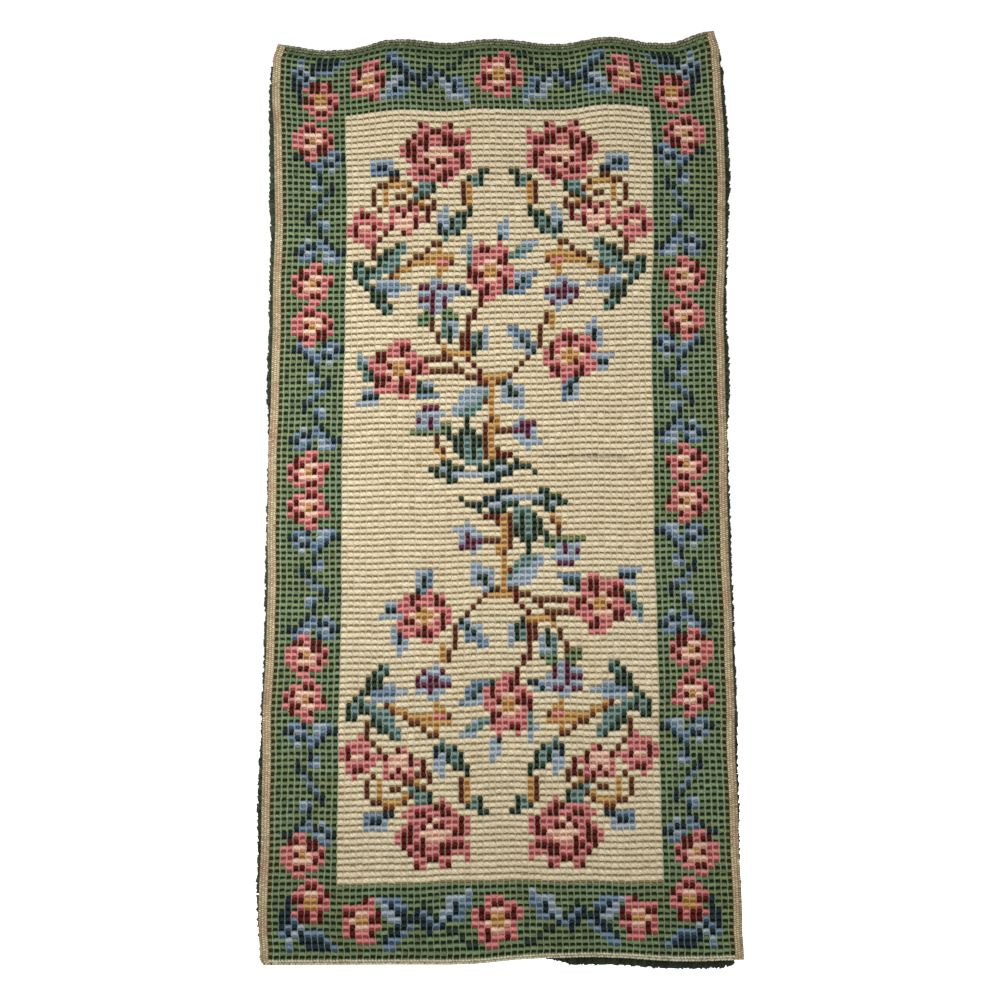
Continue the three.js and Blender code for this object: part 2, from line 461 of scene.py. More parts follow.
@dataclass(frozen=True)
class YarnFinish:
    """Acrylic rug yarn, spun in two soft plies, cut and hooked.

    The plies give it a slanting twist line every few millimetres, and the brushed fibre a matt,
    slightly fuzzy face. Where one strand lies behind another, its colour is painted darker towards its
    hollow shade colour: painted shade. Light and dust have reached it unevenly, in patches. Lengths in
    millimetres.
    """

    name: str
    slot: str
    lit: str
    deep: str
    aged: str
    fullness: float = 0.55
    variety: float = 0.07
    twist_pitch: float = 2.6
    fibre_patch: float = 1.3
    aged_patch: float = 80.0
    relief: float = 0.4

    def material(self) -> bpy.types.Material:
        """The yarn's material. Its pieces carry shade, depth and yarn_place attributes, knots also worn."""
        made = empty_material(f"{self.name}_acrylic_rug_yarn_plied_and_cut")
        tree = made.node_tree
        where = add_node(tree, "ShaderNodeTexCoord", {}).outputs["Object"]
        place, shade, depth, rubbed = (
            add_node(tree, "ShaderNodeAttribute", {"attribute_name": name}).outputs
            for name in ("yarn_place", "shade", "depth", "worn")
        )
        # Two plies: one twist line for each pitch along the strand, slanted by the strand's own width.
        twist = add_node(tree, "ShaderNodeTexWave", {
            "wave_type": "BANDS", "bands_direction": "DIAGONAL", "Scale": WAVE_CYCLE / self.twist_pitch,
            "Distortion": 1.2, "Detail": 1.0, "Detail Scale": 1.5, "Vector": place["Vector"],
        }).outputs["Fac"]
        fibre, ageing = (
            add_node(tree, "ShaderNodeTexNoise", {
                "Scale": 1 / (patch * MM), "Detail": 2.0, "Roughness": 0.6, "Vector": where,
            }).outputs["Fac"]
            for patch in (self.fibre_patch, self.aged_patch)
        )
        aged_share = add_node(tree, "ShaderNodeMapRange", {
            "From Min": 0.4, "From Max": 0.66, "To Max": 0.6, "Value": ageing,
        }).outputs["Result"]
        dulled = add_node(tree, "ShaderNodeMath", {
            "operation": "MAXIMUM", 0: aged_share, 1: rubbed["Fac"],
        }).outputs[0]
        worn = add_node(tree, "ShaderNodeMix", {
            "data_type": "RGBA", MIX_SHARE: dulled,
            MIX_FIRST: linear(self.lit), MIX_SECOND: linear(self.aged),
        }).outputs[MIX_RESULT]
        # Painted shade: towards a strand's root the depth attribute turns its colour to the hollow shade
        # colour.
        hollow = add_node(tree, "ShaderNodeMix", {
            "data_type": "RGBA", MIX_SHARE: depth["Fac"], MIX_FIRST: linear(self.deep), MIX_SECOND: worn,
        }).outputs[MIX_RESULT]
        twisted = add_node(tree, "ShaderNodeMath", {
            "operation": "MULTIPLY_ADD", 0: twist, 1: 0.22, 2: 0.55,
        }).outputs[0]
        mottled = add_node(tree, "ShaderNodeMath", {
            "operation": "MULTIPLY_ADD", 0: fibre, 1: 0.5, 2: twisted,
        }).outputs[0]
        level = add_node(tree, "ShaderNodeMath", {
            "operation": "MULTIPLY", 0: mottled, 1: shade["Fac"],
        }).outputs[0]
        colour = add_node(tree, "ShaderNodeMix", {
            "data_type": "RGBA", "blend_type": "MULTIPLY", MIX_SHARE: 1.0,
            MIX_FIRST: hollow, MIX_SECOND: level,
        }).outputs[MIX_RESULT]
        height = add_node(tree, "ShaderNodeMath", {
            "operation": "MULTIPLY_ADD", 0: fibre, 1: 0.4, 2: twist,
        }).outputs[0]
        bump = add_node(tree, "ShaderNodeBump", {
            "Strength": 0.35, "Distance": self.relief * MM, "Height": height,
        }).outputs[0]
        shader = add_node(tree, "ShaderNodeBsdfPrincipled", {
            "Roughness": 0.95, "IOR": 1.46, "Specular IOR Level": 0.08, "Sheen Weight": 0.06,
            "Sheen Roughness": 0.6, "Base Color": colour, "Normal": bump,
        }).outputs[0]
        add_node(tree, "ShaderNodeOutputMaterial", {"Surface": shader})
        return made


class Yarn(Enum):
    """The thirteen yarns, each by the letter that it has in the charts."""

    CREAM = "C"
    GREEN = "G"
    DARK_GREEN = "D"
    TEAL = "T"
    LIGHT_BLUE = "L"
    BLUE = "B"
    NAVY = "N"
    ROSE = "R"
    PALE_PINK = "P"
    MAROON = "K"
    BROWN = "W"
    GOLD = "O"
    PLUM = "U"


YARN_FINISHES: dict[Yarn, YarnFinish] = {
    Yarn.CREAM: YarnFinish("cream", "yarn_cream", "#F0E3C2", "#927C54", "#ECDAB6", 0.84, 0.04),
    Yarn.GREEN: YarnFinish("green", "yarn_green", "#7A926C", "#1C2712", "#808854", 0.6, 0.14),
    Yarn.DARK_GREEN: YarnFinish("dark_green", "yarn_dark_green", "#2F4838", "#0C1710", "#384C38"),
    Yarn.TEAL: YarnFinish("teal", "yarn_teal", "#819E98", "#30504C", "#7C9688", 0.6),
    Yarn.LIGHT_BLUE: YarnFinish("light_blue", "yarn_light_blue", "#B0BCC6", "#6C7C8C", "#A4B0B4", 0.62),
    Yarn.BLUE: YarnFinish("blue", "yarn_blue", "#7F98AE", "#384E62", "#7A90A0", 0.6),
    Yarn.NAVY: YarnFinish("navy", "yarn_navy", "#1D3642", "#0A151A", "#213A38"),
    Yarn.ROSE: YarnFinish("rose", "yarn_rose", "#E2928F", "#903C3E", "#DB8A84", 0.62),
    Yarn.PALE_PINK: YarnFinish("pale_pink", "yarn_pale_pink", "#F7D3BC", "#B98068", "#F3CDB2", 0.7),
    Yarn.MAROON: YarnFinish("maroon", "yarn_maroon", "#661812", "#390A06", "#5E1C16"),
    Yarn.BROWN: YarnFinish("brown", "yarn_brown", "#6E3C20", "#3C1A0C", "#64361E"),
    Yarn.GOLD: YarnFinish("gold", "yarn_gold", "#D2A765", "#8E5A22", "#CDA96C", 0.64),
    Yarn.PLUM: YarnFinish("plum", "yarn_plum", "#6F3450", "#380E22", "#6A3A4E"),
}


@dataclass(frozen=True)
class CanvasFinish:
    """Cotton rug canvas, leno woven and sized stiff.

    Pale straw threads with a dry, matt face. Handling has left pinkish-brown patches. Next to
    coloured yarn its threads take up loose fibre, and where they lie in shade a darker colour is
    painted on them as shade; the fluff attribute holds both. Lengths in millimetres.
    """

    name: str
    thread: str
    soiled: str
    soiled_patch: float = 40.0
    fibre_patch: float = 0.9
    relief: float = 0.3

    def material(self) -> bpy.types.Material:
        """The canvas material. Pieces carry fluff, a colour of yarn fibre or painted shade; alpha is how
        much shows.
        """
        made = empty_material(f"{self.name}_leno_woven_cotton_sized")
        tree = made.node_tree
        where = add_node(tree, "ShaderNodeTexCoord", {}).outputs["Object"]
        fluff = add_node(tree, "ShaderNodeAttribute", {"attribute_name": "fluff"}).outputs
        soil, fibre = (
            add_node(tree, "ShaderNodeTexNoise", {
                "Scale": 1 / (patch * MM), "Detail": 2.0, "Roughness": roughness, "Vector": where,
            }).outputs["Fac"]
            for patch, roughness in ((self.soiled_patch, 0.6), (self.fibre_patch, 0.65))
        )
        soiled_share = add_node(tree, "ShaderNodeMapRange", {
            "From Min": 0.45, "From Max": 0.68, "Value": soil,
        }).outputs["Result"]
        thread = add_node(tree, "ShaderNodeMix", {
            "data_type": "RGBA", MIX_SHARE: soiled_share,
            MIX_FIRST: linear(self.thread), MIX_SECOND: linear(self.soiled),
        }).outputs[MIX_RESULT]
        # Loose yarn fibre, and painted shade where the threads lie in hollows, over the thread colour.
        covered = add_node(tree, "ShaderNodeMix", {
            "data_type": "RGBA", MIX_SHARE: fluff["Alpha"], MIX_FIRST: thread, MIX_SECOND: fluff["Color"],
        }).outputs[MIX_RESULT]
        level = add_node(tree, "ShaderNodeMath", {
            "operation": "MULTIPLY_ADD", 0: fibre, 1: 0.5, 2: 0.75,
        }).outputs[0]
        colour = add_node(tree, "ShaderNodeMix", {
            "data_type": "RGBA", "blend_type": "MULTIPLY", MIX_SHARE: 1.0,
            MIX_FIRST: covered, MIX_SECOND: level,
        }).outputs[MIX_RESULT]
        bump = add_node(tree, "ShaderNodeBump", {
            "Strength": 0.3, "Distance": self.relief * MM, "Height": fibre,
        }).outputs[0]
        shader = add_node(tree, "ShaderNodeBsdfPrincipled", {
            "Roughness": 0.95, "IOR": 1.5, "Specular IOR Level": 0.08, "Base Color": colour,
            "Normal": bump,
        }).outputs[0]
        add_node(tree, "ShaderNodeOutputMaterial", {"Surface": shader})
        return made


CANVAS_GROUND = CanvasFinish("rug_canvas", "#D8C49A", "#CDAE8C")
CANVAS_THREAD = CanvasFinish("rug_canvas_thread", "#E0DCC0", "#D6CBAA")
CANVAS_SELVEDGE = CanvasFinish("rug_canvas_selvedge", "#FFF0C8", "#F0CCAE")


# ---------------------------------------------------------------- the charted design


class Copies(Enum):
    """How a motif is repeated over the cloth."""

    FOUR_WAYS = "mirrored to the right and to the foot"
    HALF_TURN = "turned half round about the middle"


Place = tuple[float, float]
Knot = tuple[int, int, Yarn]


def knots_around(corners: tuple[Place, ...], margin: float) -> Iterator[tuple[int, int]]:
    """Every knot of the box round some places.

    Args:
        corners: places the box holds, as (column, row).
        margin: how far the box goes past them, in knots.

    Yields:
        Column and row of each knot.
    """
    columns = [corner[0] for corner in corners]
    rows = [corner[1] for corner in corners]
    for row in range(math.floor(min(rows) - margin), math.ceil(max(rows) + margin) + 1):
        for column in range(math.floor(min(columns) - margin), math.ceil(max(columns) + margin) + 1):
            yield column, row


@dataclass(frozen=True)
class Repeat:
    """A small repeat of the border, given as a chart: a letter for each knot, a full stop for the ground.
    """

    rows: tuple[str, ...]

    def turned(self) -> "Repeat":
        """The same repeat turned half round."""
        return Repeat(tuple(row[::-1] for row in reversed(self.rows)))


@dataclass(frozen=True)
class Placed:
    """A repeat with its top left knot at a column and row."""

    repeat: Repeat
    column: int
    row: int

    def knots(self) -> Iterator[Knot]:
        """Every knot of the repeat."""
        for down, row in enumerate(self.repeat.rows):
            for across, letter in enumerate(row):
                if letter != ".":
                    yield self.column + across, self.row + down, Yarn(letter)


@dataclass(frozen=True)
class Petals:
    """The yarns of a flower, from its heart outwards."""

    heart: Yarn
    inner: Yarn
    outer: Yarn
    fold: Yarn


@dataclass(frozen=True)
class Blossom:
    """An open flower: petals that swirl about a heart, with a dark fold between each two."""

    middle: Place
    reach: Place
    petals: Petals
    count: int = 5
    turn: float = 0.0
    swirl: float = 1.1
    heart_share: float = 0.24
    inner_share: float = 0.42
    notch: float = 0.24
    fold_width: float = 0.4
    crease: tuple[float, float] = (0.60, 0.84)
    crease_side: float = 0.5

    def knots(self) -> Iterator[Knot]:
        """Every knot inside the outline of the petals."""
        for column, row in knots_around((self.middle,), max(self.reach)):
            across = (column - self.middle[0]) / self.reach[0]
            down = (row - self.middle[1]) / self.reach[1]
            share = math.hypot(across, down)
            angle = math.atan2(down, across) - self.turn - self.swirl * share
            on_petal = abs(math.cos(self.count * angle / 2))
            if share > 1 - self.notch * (1 - on_petal):
                continue
            if share < self.heart_share:
                yield column, row, self.petals.heart
            elif on_petal < self.fold_width or self.creased(share, angle):
                yield column, row, self.petals.fold
            elif share < self.inner_share:
                yield column, row, self.petals.inner
            else:
                yield column, row, self.petals.outer

    def creased(self, share: float, angle: float) -> bool:
        """Whether a knot lies in the short dark crease on one side of a petal."""
        on_side = math.sin(self.count * angle) > self.crease_side
        return self.crease[0] < share < self.crease[1] and on_side


@dataclass(frozen=True)
class Leaf:
    """A pointed leaf, and the letters of the yarns on its left, on its right and in its vein.

    The vein stops short of the tip.
    """

    start: Place
    tip: Place
    width: float
    yarns: str
    vein_width: float = 0.9
    vein_end: float = 0.72
    point: float = 0.3

    def knots(self) -> Iterator[Knot]:
        """Every knot inside the outline of the leaf."""
        left, right, vein = (Yarn(letter) for letter in self.yarns)
        run = (self.tip[0] - self.start[0], self.tip[1] - self.start[1])
        length = math.hypot(*run)
        for column, row in knots_around((self.start, self.tip), self.width):
            out = (column - self.start[0], row - self.start[1])
            share = (out[0] * run[0] + out[1] * run[1]) / length**2
            side = (out[1] * run[0] - out[0] * run[1]) / length
            if not 0 <= share <= 1 or abs(side) > self.point + self.width / 2 * math.sin(math.pi * share):
                continue
            if abs(side) < self.vein_width / 2 and share < self.vein_end:
                yield column, row, vein
            else:
                yield column, row, left if side < 0 else right


@dataclass(frozen=True)
class Stem:
    """A stem one knot wide through a few places, and the letter of its yarn."""

    yarn: str
    places: tuple[tuple[int, int], ...]

    def knots(self) -> Iterator[Knot]:
        """One knot at a time from place to place."""
        for start, end in zip(self.places, self.places[1:]):
            steps = max(abs(end[0] - start[0]), abs(end[1] - start[1]))
            for step in range(steps + 1):
                column = round(start[0] + (end[0] - start[0]) * step / steps)
                row = round(start[1] + (end[1] - start[1]) * step / steps)
                yield column, row, Yarn(self.yarn)


ROSE_PETALS = Petals(Yarn.GOLD, Yarn.PALE_PINK, Yarn.ROSE, Yarn.MAROON)
PINK_PETALS = Petals(Yarn.PALE_PINK, Yarn.ROSE, Yarn.ROSE, Yarn.MAROON)
RUFFLED_PETALS = Petals(Yarn.PALE_PINK, Yarn.PALE_PINK, Yarn.ROSE, Yarn.MAROON)
AMBER_PETALS = Petals(Yarn.ROSE, Yarn.ROSE, Yarn.GOLD, Yarn.BROWN)
PLUM_PETALS = Petals(Yarn.PLUM, Yarn.LIGHT_BLUE, Yarn.LIGHT_BLUE, Yarn.PLUM)
Motif = Placed | Blossom | Leaf | Stem

BORDER_SPRAY = Repeat((
    ".BLL.NBB.",
    "NNBL.BLNN",
    "..NBBNNB.",
    "...NB.L..",
    "....D....",
    "...BN....",
    "...LB.N..",
    ".....DN..",
    "....DB...",
    "....B....",
))

CORNERS_AND_BORDERS: tuple[Motif, ...] = (
    # Border, in its corners, down its sides and along its top: leaves first, flowers over them.
    Leaf((2, 9), (2, 2), 2.4, "NBN"),
    Leaf((3, 4), (9, 2), 2.6, "NBN"),
    Leaf((4, 6), (1, 3), 2.2, "BLN"),
    Placed(BORDER_SPRAY, 1, 18),
    Placed(BORDER_SPRAY.turned(), 1, 27),
    Placed(BORDER_SPRAY, 1, 50),
    Placed(BORDER_SPRAY.turned(), 1, 58),
    Stem("D", ((21, 5), (23, 8), (27, 4), (31, 2))),
    Leaf((21, 6), (16, 9), 2.6, "BLN"),
    Leaf((21, 6), (17, 2), 2.2, "NBN"),
    Leaf((22, 7), (25, 4), 2.0, "NBN"),
    Leaf((26, 5), (30, 10), 3.0, "BLN"),
    Blossom((5.6, 8.6), (3.3, 3.9), ROSE_PETALS, turn=0.5),
    Blossom((13.4, 6), (3.5, 3.7), ROSE_PETALS, turn=0.2),
    Blossom((4, 16), (3.7, 3.3), ROSE_PETALS, turn=0.9),
    Blossom((4, 40), (3.6, 3.5), ROSE_PETALS, turn=0.2),
    Blossom((4, 47), (3.7, 3.3), ROSE_PETALS, turn=0.9),
    Blossom((4, 71), (3.6, 3.5), ROSE_PETALS, turn=0.2),
    # The bouquet in each corner of the field.
    Leaf((18, 22), (13, 20), 3.0, "BLN"),
    Stem("W", ((15, 28), (14, 26), (15, 24), (17, 23), (20, 24), (23, 26), (24, 28))),
    Stem("O", ((16, 27), (16, 25), (18, 24), (20, 25), (22, 27))),
    Stem("W", ((18, 26), (20, 27), (23, 28))),
    Stem("K", ((23, 28), (23, 30), (21, 31))),
    Leaf((21, 26), (25, 23), 1.6, "TDT"),
    Leaf((29, 25), (33, 22), 1.8, "DDT"),
    Stem("W", ((29, 24), (29, 27))),
    Stem("O", ((30, 24), (30, 27))),
    Leaf((26, 33), (30, 28), 1.8, "DDT"),
    Leaf((25, 32), (26, 28), 2.4, "LLN"),
    Leaf((24, 18), (22, 13), 1.6, "KRR"),
    Leaf((26, 18), (27, 13), 1.8, "RKK"),
    Leaf((28, 19), (30, 15), 1.8, "KRR"),
    Blossom(
        (24.7, 19.2), (5.9, 5.0), RUFFLED_PETALS,
        count=6, turn=0.5, swirl=1.9, notch=0.16, heart_share=0.16, inner_share=0.42, fold_width=0.48,
    ),
    Stem("O", ((12, 33), (15, 33))),
    Stem("W", ((16, 32), (14, 34), (14, 36))),
    Blossom((12.6, 31), (2.8, 3.5), PINK_PETALS, count=4, turn=0.2),
    Blossom(
        (19, 29.8), (3.4, 2.9), RUFFLED_PETALS, turn=1.2, swirl=1.6, heart_share=0.16, inner_share=0.55
    ),
    Leaf((14, 39), (19, 34), 3.2, "DTT"),
    Stem("W", ((17, 39), (20, 37), (23, 35), (25, 34))),
    Stem("O", ((17, 40), (19, 38), (22, 37), (25, 36))),
    Stem("O", ((23, 36), (25, 35))),
    Blossom((25.5, 37), (1.9, 2.2), AMBER_PETALS, count=3, turn=0.9, fold_width=0.15),
    Leaf((13, 41), (11, 36), 1.8, "DDT"),
    Leaf((13, 41), (20, 41), 2.6, "LLB"),
    Leaf((14, 41), (17, 45), 1.6, "DTD"),
    Stem("D", ((13, 41), (14, 43), (16, 45))),
)

BRANCH: tuple[Motif, ...] = (
    # The flower in the middle of the top border.
    Blossom((35.5, 5.5), (4.2, 4.1), ROSE_PETALS, turn=0.4),
    # The flowering branch in the middle of the field: its upper half.
    Stem("K", ((32, 43), (31, 46), (30, 48), (30, 52), (32, 56))),
    Stem("W", ((31, 45), (30, 47), (29, 49), (29, 52))),
    Stem("W", ((24, 46), (25, 50), (27, 53), (28, 55))),
    Stem("O", ((26, 51), (28, 52), (30, 52))),
    Stem("W", ((23, 53), (27, 53))),
    Stem("W", ((24, 55), (29, 55), (32, 57))),
    Stem("W", ((43, 46), (42, 50), (41, 52), (38, 55), (35, 57))),
    Stem("O", ((44, 46), (44, 48))),
    Stem("O", ((33, 56), (36, 56))),
    Stem("W", ((33, 57), (33, 60), (34, 62), (33, 65), (33, 69), (32, 71))),
    Stem("O", ((34, 57), (34, 61), (35, 63), (35, 64))),
    Stem("O", ((34, 64), (34, 70))),
    Stem("W", ((35, 68), (35, 70))),
    Stem("W", ((35, 65), (38, 65))),
    Stem("W", ((24, 65), (26, 68), (27, 70))),
    Stem("O", ((25, 68), (26, 69))),
    Stem("K", ((35, 69), (37, 69))),
    Leaf((35, 34), (36, 30), 2.0, "LLN"),
    Leaf((30, 37), (30, 33), 1.8, "LLT"),
    Leaf((37, 36), (41, 34), 2.0, "LLT"),
    Leaf((36, 42), (41, 39), 3.2, "LBD"),
    Leaf((30, 42), (27, 41), 2.0, "LLN"),
    Leaf((27, 50), (27, 46), 2.2, "TLD"),
    Leaf((31, 52), (33, 48), 2.4, "TLD"),
    Leaf((41, 52), (37, 48), 2.6, "LBD"),
    Leaf((33, 58), (28, 62), 3.6, "TLL"),
    Leaf((36, 57), (39, 61), 3.6, "LLD"),
    Leaf((50, 54), (51, 47), 2.8, "LLN"),
    Leaf((50, 55), (54, 53), 2.2, "LLN"),
    Leaf((48, 56), (46, 61), 3.0, "LBD"),
    Leaf((15, 57), (12, 52), 2.4, "TLD"),
    Leaf((16, 58), (12, 60), 2.2, "LLN"),
    Leaf((21, 57), (25, 59), 2.2, "LBD"),
    Blossom((33.5, 38.5), (4.3, 5.2), ROSE_PETALS, turn=0.6),
    Blossom((18.3, 54.5), (4.9, 5.1), ROSE_PETALS, turn=0.1),
    Blossom((47, 53), (4.9, 4.4), ROSE_PETALS, turn=1.0),
    Leaf((25, 45), (28, 46), 1.6, "GGG"),
    Leaf((24, 45), (22, 47), 1.2, "GGG"),
    Blossom((24, 42.5), (3.3, 3.2), PLUM_PETALS, turn=0.3),
    Blossom((45.5, 42.5), (3.2, 2.8), PLUM_PETALS, turn=1.1),
    Leaf((24, 65), (21, 65), 1.6, "GGG"),
    Leaf((24, 65), (27, 64), 1.2, "GGG"),
    Blossom((23.8, 62.6), (2.8, 2.2), PLUM_PETALS, count=4, turn=0.2),
    Leaf((38, 66), (42, 67), 3.0, "LLN"),
    Blossom((39.7, 64.7), (2.4, 2.1), PLUM_PETALS, count=4, heart_share=0.5),
    Leaf((31, 70), (27, 65), 1.8, "DDT"),
    Leaf((30, 70), (30, 63), 2.6, "DDT", vein_width=0.5, vein_end=0.6),
    Leaf((32, 70), (32, 66), 0.8, "DDT"),
    # Ground leaves under the trunk.
    Leaf((31, 72), (23, 71), 2.4, "DDL"),
    Leaf((31, 72), (38, 71), 2.8, "DNL"),
    Stem("D", ((38, 70), (41, 72))),
)

LAYOUT: dict[Copies, tuple[Motif, ...]] = {
    Copies.FOUR_WAYS: CORNERS_AND_BORDERS,
    Copies.HALF_TURN: BRANCH,
}


class Chart:
    """The whole design: one yarn for every knot."""

    def __init__(self) -> None:
        """Chart the two grounds, then the motifs over them in their order."""
        cloth = Cloth()
        self.knots = np.full((ROWS, COLUMNS), Yarn.GREEN.value)
        top, side = cloth.border_rows, cloth.border_columns
        self.knots[top : ROWS - top, side : COLUMNS - side] = Yarn.CREAM.value
        for copies, motifs in LAYOUT.items():
            for motif in motifs:
                for column, row, yarn in motif.knots():
                    self.work(column, row, yarn, copies)

    def work(self, column: int, row: int, yarn: Yarn, copies: Copies) -> None:
        """Work one knot and its copies.

        Args:
            column: column of the knot; one past the edge is left out.
            row: row of the knot; one past the edge is left out.
            yarn: its yarn.
            copies: where it is repeated.
        """
        if not (0 <= column < COLUMNS and 0 <= row < ROWS):
            return
        across, down = COLUMNS - 1 - column, ROWS - 1 - row
        places = [(row, column), (down, across)]
        if copies is Copies.FOUR_WAYS:
            places += [(row, across), (down, column)]
        for place in places:
            self.knots[place] = yarn.value

    def places(self, yarn: Yarn) -> tuple[np.ndarray, np.ndarray]:
        """Columns and rows of every knot of a yarn."""
        rows, columns = np.nonzero(self.knots == yarn.value)
        return columns, rows

    def colours(self, shade: str) -> np.ndarray:
        """Linear colour of every knot.

        Args:
            shade: "lit" for the top of the yarn, "deep" for its hollows: a darker colour painted as their
                shade.

        Returns:
            An array of rows, columns and four colour channels.
        """
        table = {yarn.value: linear(getattr(YARN_FINISHES[yarn], shade)) for yarn in Yarn}
        return np.array([[table[letter] for letter in row] for row in self.knots])

    def fullness(self) -> np.ndarray:
        """Share of the row's height that every knot's back fills."""
        table = {yarn.value: YARN_FINISHES[yarn].fullness for yarn in Yarn}
        return np.array([[table[letter] for letter in row] for row in self.knots])


# ---------------------------------------------------------------- shapes made, then repeated


def put_down_everything() -> None:
    """Leave edit mode and deselect all."""
    if bpy.context.object and bpy.context.object.mode != "OBJECT":
        bpy.ops.object.mode_set(mode="OBJECT")
    bpy.ops.object.select_all(action="DESELECT")


def face_outwards() -> None:
    """Turn all faces of the mesh in edit mode outwards, and leave edit mode."""
    bpy.ops.mesh.select_all(action="SELECT")
    bpy.ops.mesh.normals_make_consistent(inside=False)
    bpy.ops.object.mode_set(mode="OBJECT")


Size = tuple[float, float, float]


@dataclass
class Shape:
    """A small closed shape, modelled once and repeated many times in one joined mesh."""

    points: np.ndarray
    faces: list[tuple[int, ...]]

    @classmethod
    def taken_from(cls, model: bpy.types.Object) -> "Shape":
        """Read a modelled object and remove it.

        Args:
            model: the object, in object mode.

        Returns:
            Its points and faces.
        """
        points = np.array([vertex.co for vertex in model.data.vertices])
        faces = [tuple(face.vertices) for face in model.data.polygons]
        bpy.data.meshes.remove(model.data)
        return cls(points, faces)

    def joined(self, name: str, placed: np.ndarray, **values: np.ndarray) -> bpy.types.Object:
        """One mesh of many placed copies.

        Args:
            name: name of the new piece.
            placed: the copies' points in metres, an array of copies, points and three coordinates.
            values: attributes of the points, as arrays of copies and points, or with three or four
                channels for a vector or a colour.

        Returns:
            The piece, linked and riding on the frame.
        """
        copies, size = placed.shape[:2]
        corners = np.concatenate([np.array(face) for face in self.faces])
        starts = np.cumsum([0] + [len(face) for face in self.faces])[:-1]
        loops = corners[None, :] + size * np.arange(copies)[:, None]
        firsts = starts[None, :] + len(corners) * np.arange(copies)[:, None]
        mesh = bpy.data.meshes.new(name)
        mesh.vertices.add(copies * size)
        mesh.vertices.foreach_set("co", placed.astype(np.float32).ravel())
        mesh.loops.add(loops.size)
        mesh.loops.foreach_set("vertex_index", loops.astype(np.int32).ravel())
        mesh.polygons.add(firsts.size)
        mesh.polygons.foreach_set("loop_start", firsts.astype(np.int32).ravel())
        mesh.update(calc_edges=True)
        mesh.polygons.foreach_set("use_smooth", np.ones(firsts.size, bool))
        kinds = {2: ("FLOAT", "value"), 3: ("FLOAT_VECTOR", "vector"), 4: ("FLOAT_COLOR", "color")}
        for label, array in values.items():
            channels = 2 if array.ndim == 2 else array.shape[2]
            kind, socket = kinds[channels]
            attribute = mesh.attributes.new(label, kind, "POINT")
            attribute.data.foreach_set(socket, array.astype(np.float32).ravel())
        piece = bpy.data.objects.new(name, mesh)
        bpy.context.scene.collection.objects.link(piece)
        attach(piece, "root")
        return piece


def modelled_bar(sides: int, end: Size, steps: tuple[tuple[Size, Size], ...]) -> Shape:
    """A closed bar along X, half in front of its thread and flat behind, extruded from its left end.

    Args:
        sides: how many sides it has.
        end: size of its left end, as shares of a ring one unit wide.
        steps: the way to each further ring, and the ring's size as shares of the one before.

    Returns:
        The bar, from -0.5 to 0.5 along X.
    """
    put_down_everything()
    bpy.ops.mesh.primitive_circle_add(
        vertices=sides, radius=0.5, fill_type="NGON", location=(-0.5, 0, 0), rotation=(0, math.pi / 2, 0)
    )
    bpy.ops.object.transform_apply(location=True, rotation=True, scale=True)
    bpy.ops.object.mode_set(mode="EDIT")
    bpy.ops.mesh.select_all(action="SELECT")
    bpy.ops.transform.resize(value=end)
    for step, size in steps:
        bpy.ops.mesh.extrude_region_move(TRANSFORM_OT_translate={"value": step})
        bpy.ops.transform.resize(value=size)
    face_outwards()
    shape = Shape.taken_from(bpy.context.object)
    shape.points[:, 2] = np.maximum(shape.points[:, 2], 0) / shape.points[:, 2].max()
    return shape


def modelled_knot_back() -> Shape:
    """The back of one knot: a short bar of yarn over a canvas thread, from one warp to the next.

    X runs across, Y up the cloth and Z towards the viewer. The bar is one unit wide, thick and high.
    Its middle rides up a little, so that the bar is arched, and its crest lies in its upper half.
    """
    rise, high, thick = 0.15, 0.95, 0.84
    shape = modelled_bar(5, (1, high, thick), (
        ((0.27, rise, 0), (1, 1 / high, 1 / thick)),
        ((0.46, 0, 0), (1, 1, 1)),
        ((0.27, -rise, 0), (1, high, thick)),
    ))
    middle = np.abs(shape.points[:, 0]) < 0.4
    top, low = shape.points[middle, 1].max(), shape.points[middle, 1].min()
    shape.points[:, 1] = (shape.points[:, 1] - (top + low) / 2) / (top - low)
    return shape


def modelled_pick() -> Shape:
    """One pick of thread where it crosses over a cord: a small bead, one unit wide, thick and high."""
    high, thick = 0.6, 0.5
    return modelled_bar(4, (1, high, thick), (
        ((0.5, 0, 0), (1, 1 / high, 1 / thick)),
        ((0.5, 0, 0), (1, high, thick)),
    ))


def modelled_strand(sides: int, stations: int) -> Shape:
    """A straight strand along Z, one unit for each station, with a radius of one.

    Args:
        sides: how many sides it has.
        stations: how many rings it is cut into.

    Returns:
        The closed strand.
    """
    put_down_everything()
    bpy.ops.mesh.primitive_circle_add(vertices=sides, radius=1, fill_type="NGON", location=(0, 0, 0))
    bpy.ops.object.mode_set(mode="EDIT")
    bpy.ops.mesh.select_all(action="SELECT")
    for _ in range(stations - 1):
        bpy.ops.mesh.extrude_region_move(TRANSFORM_OT_translate={"value": (0, 0, 1)})
    face_outwards()
    return Shape.taken_from(bpy.context.object)


# ---------------------------------------------------------------- the pieces


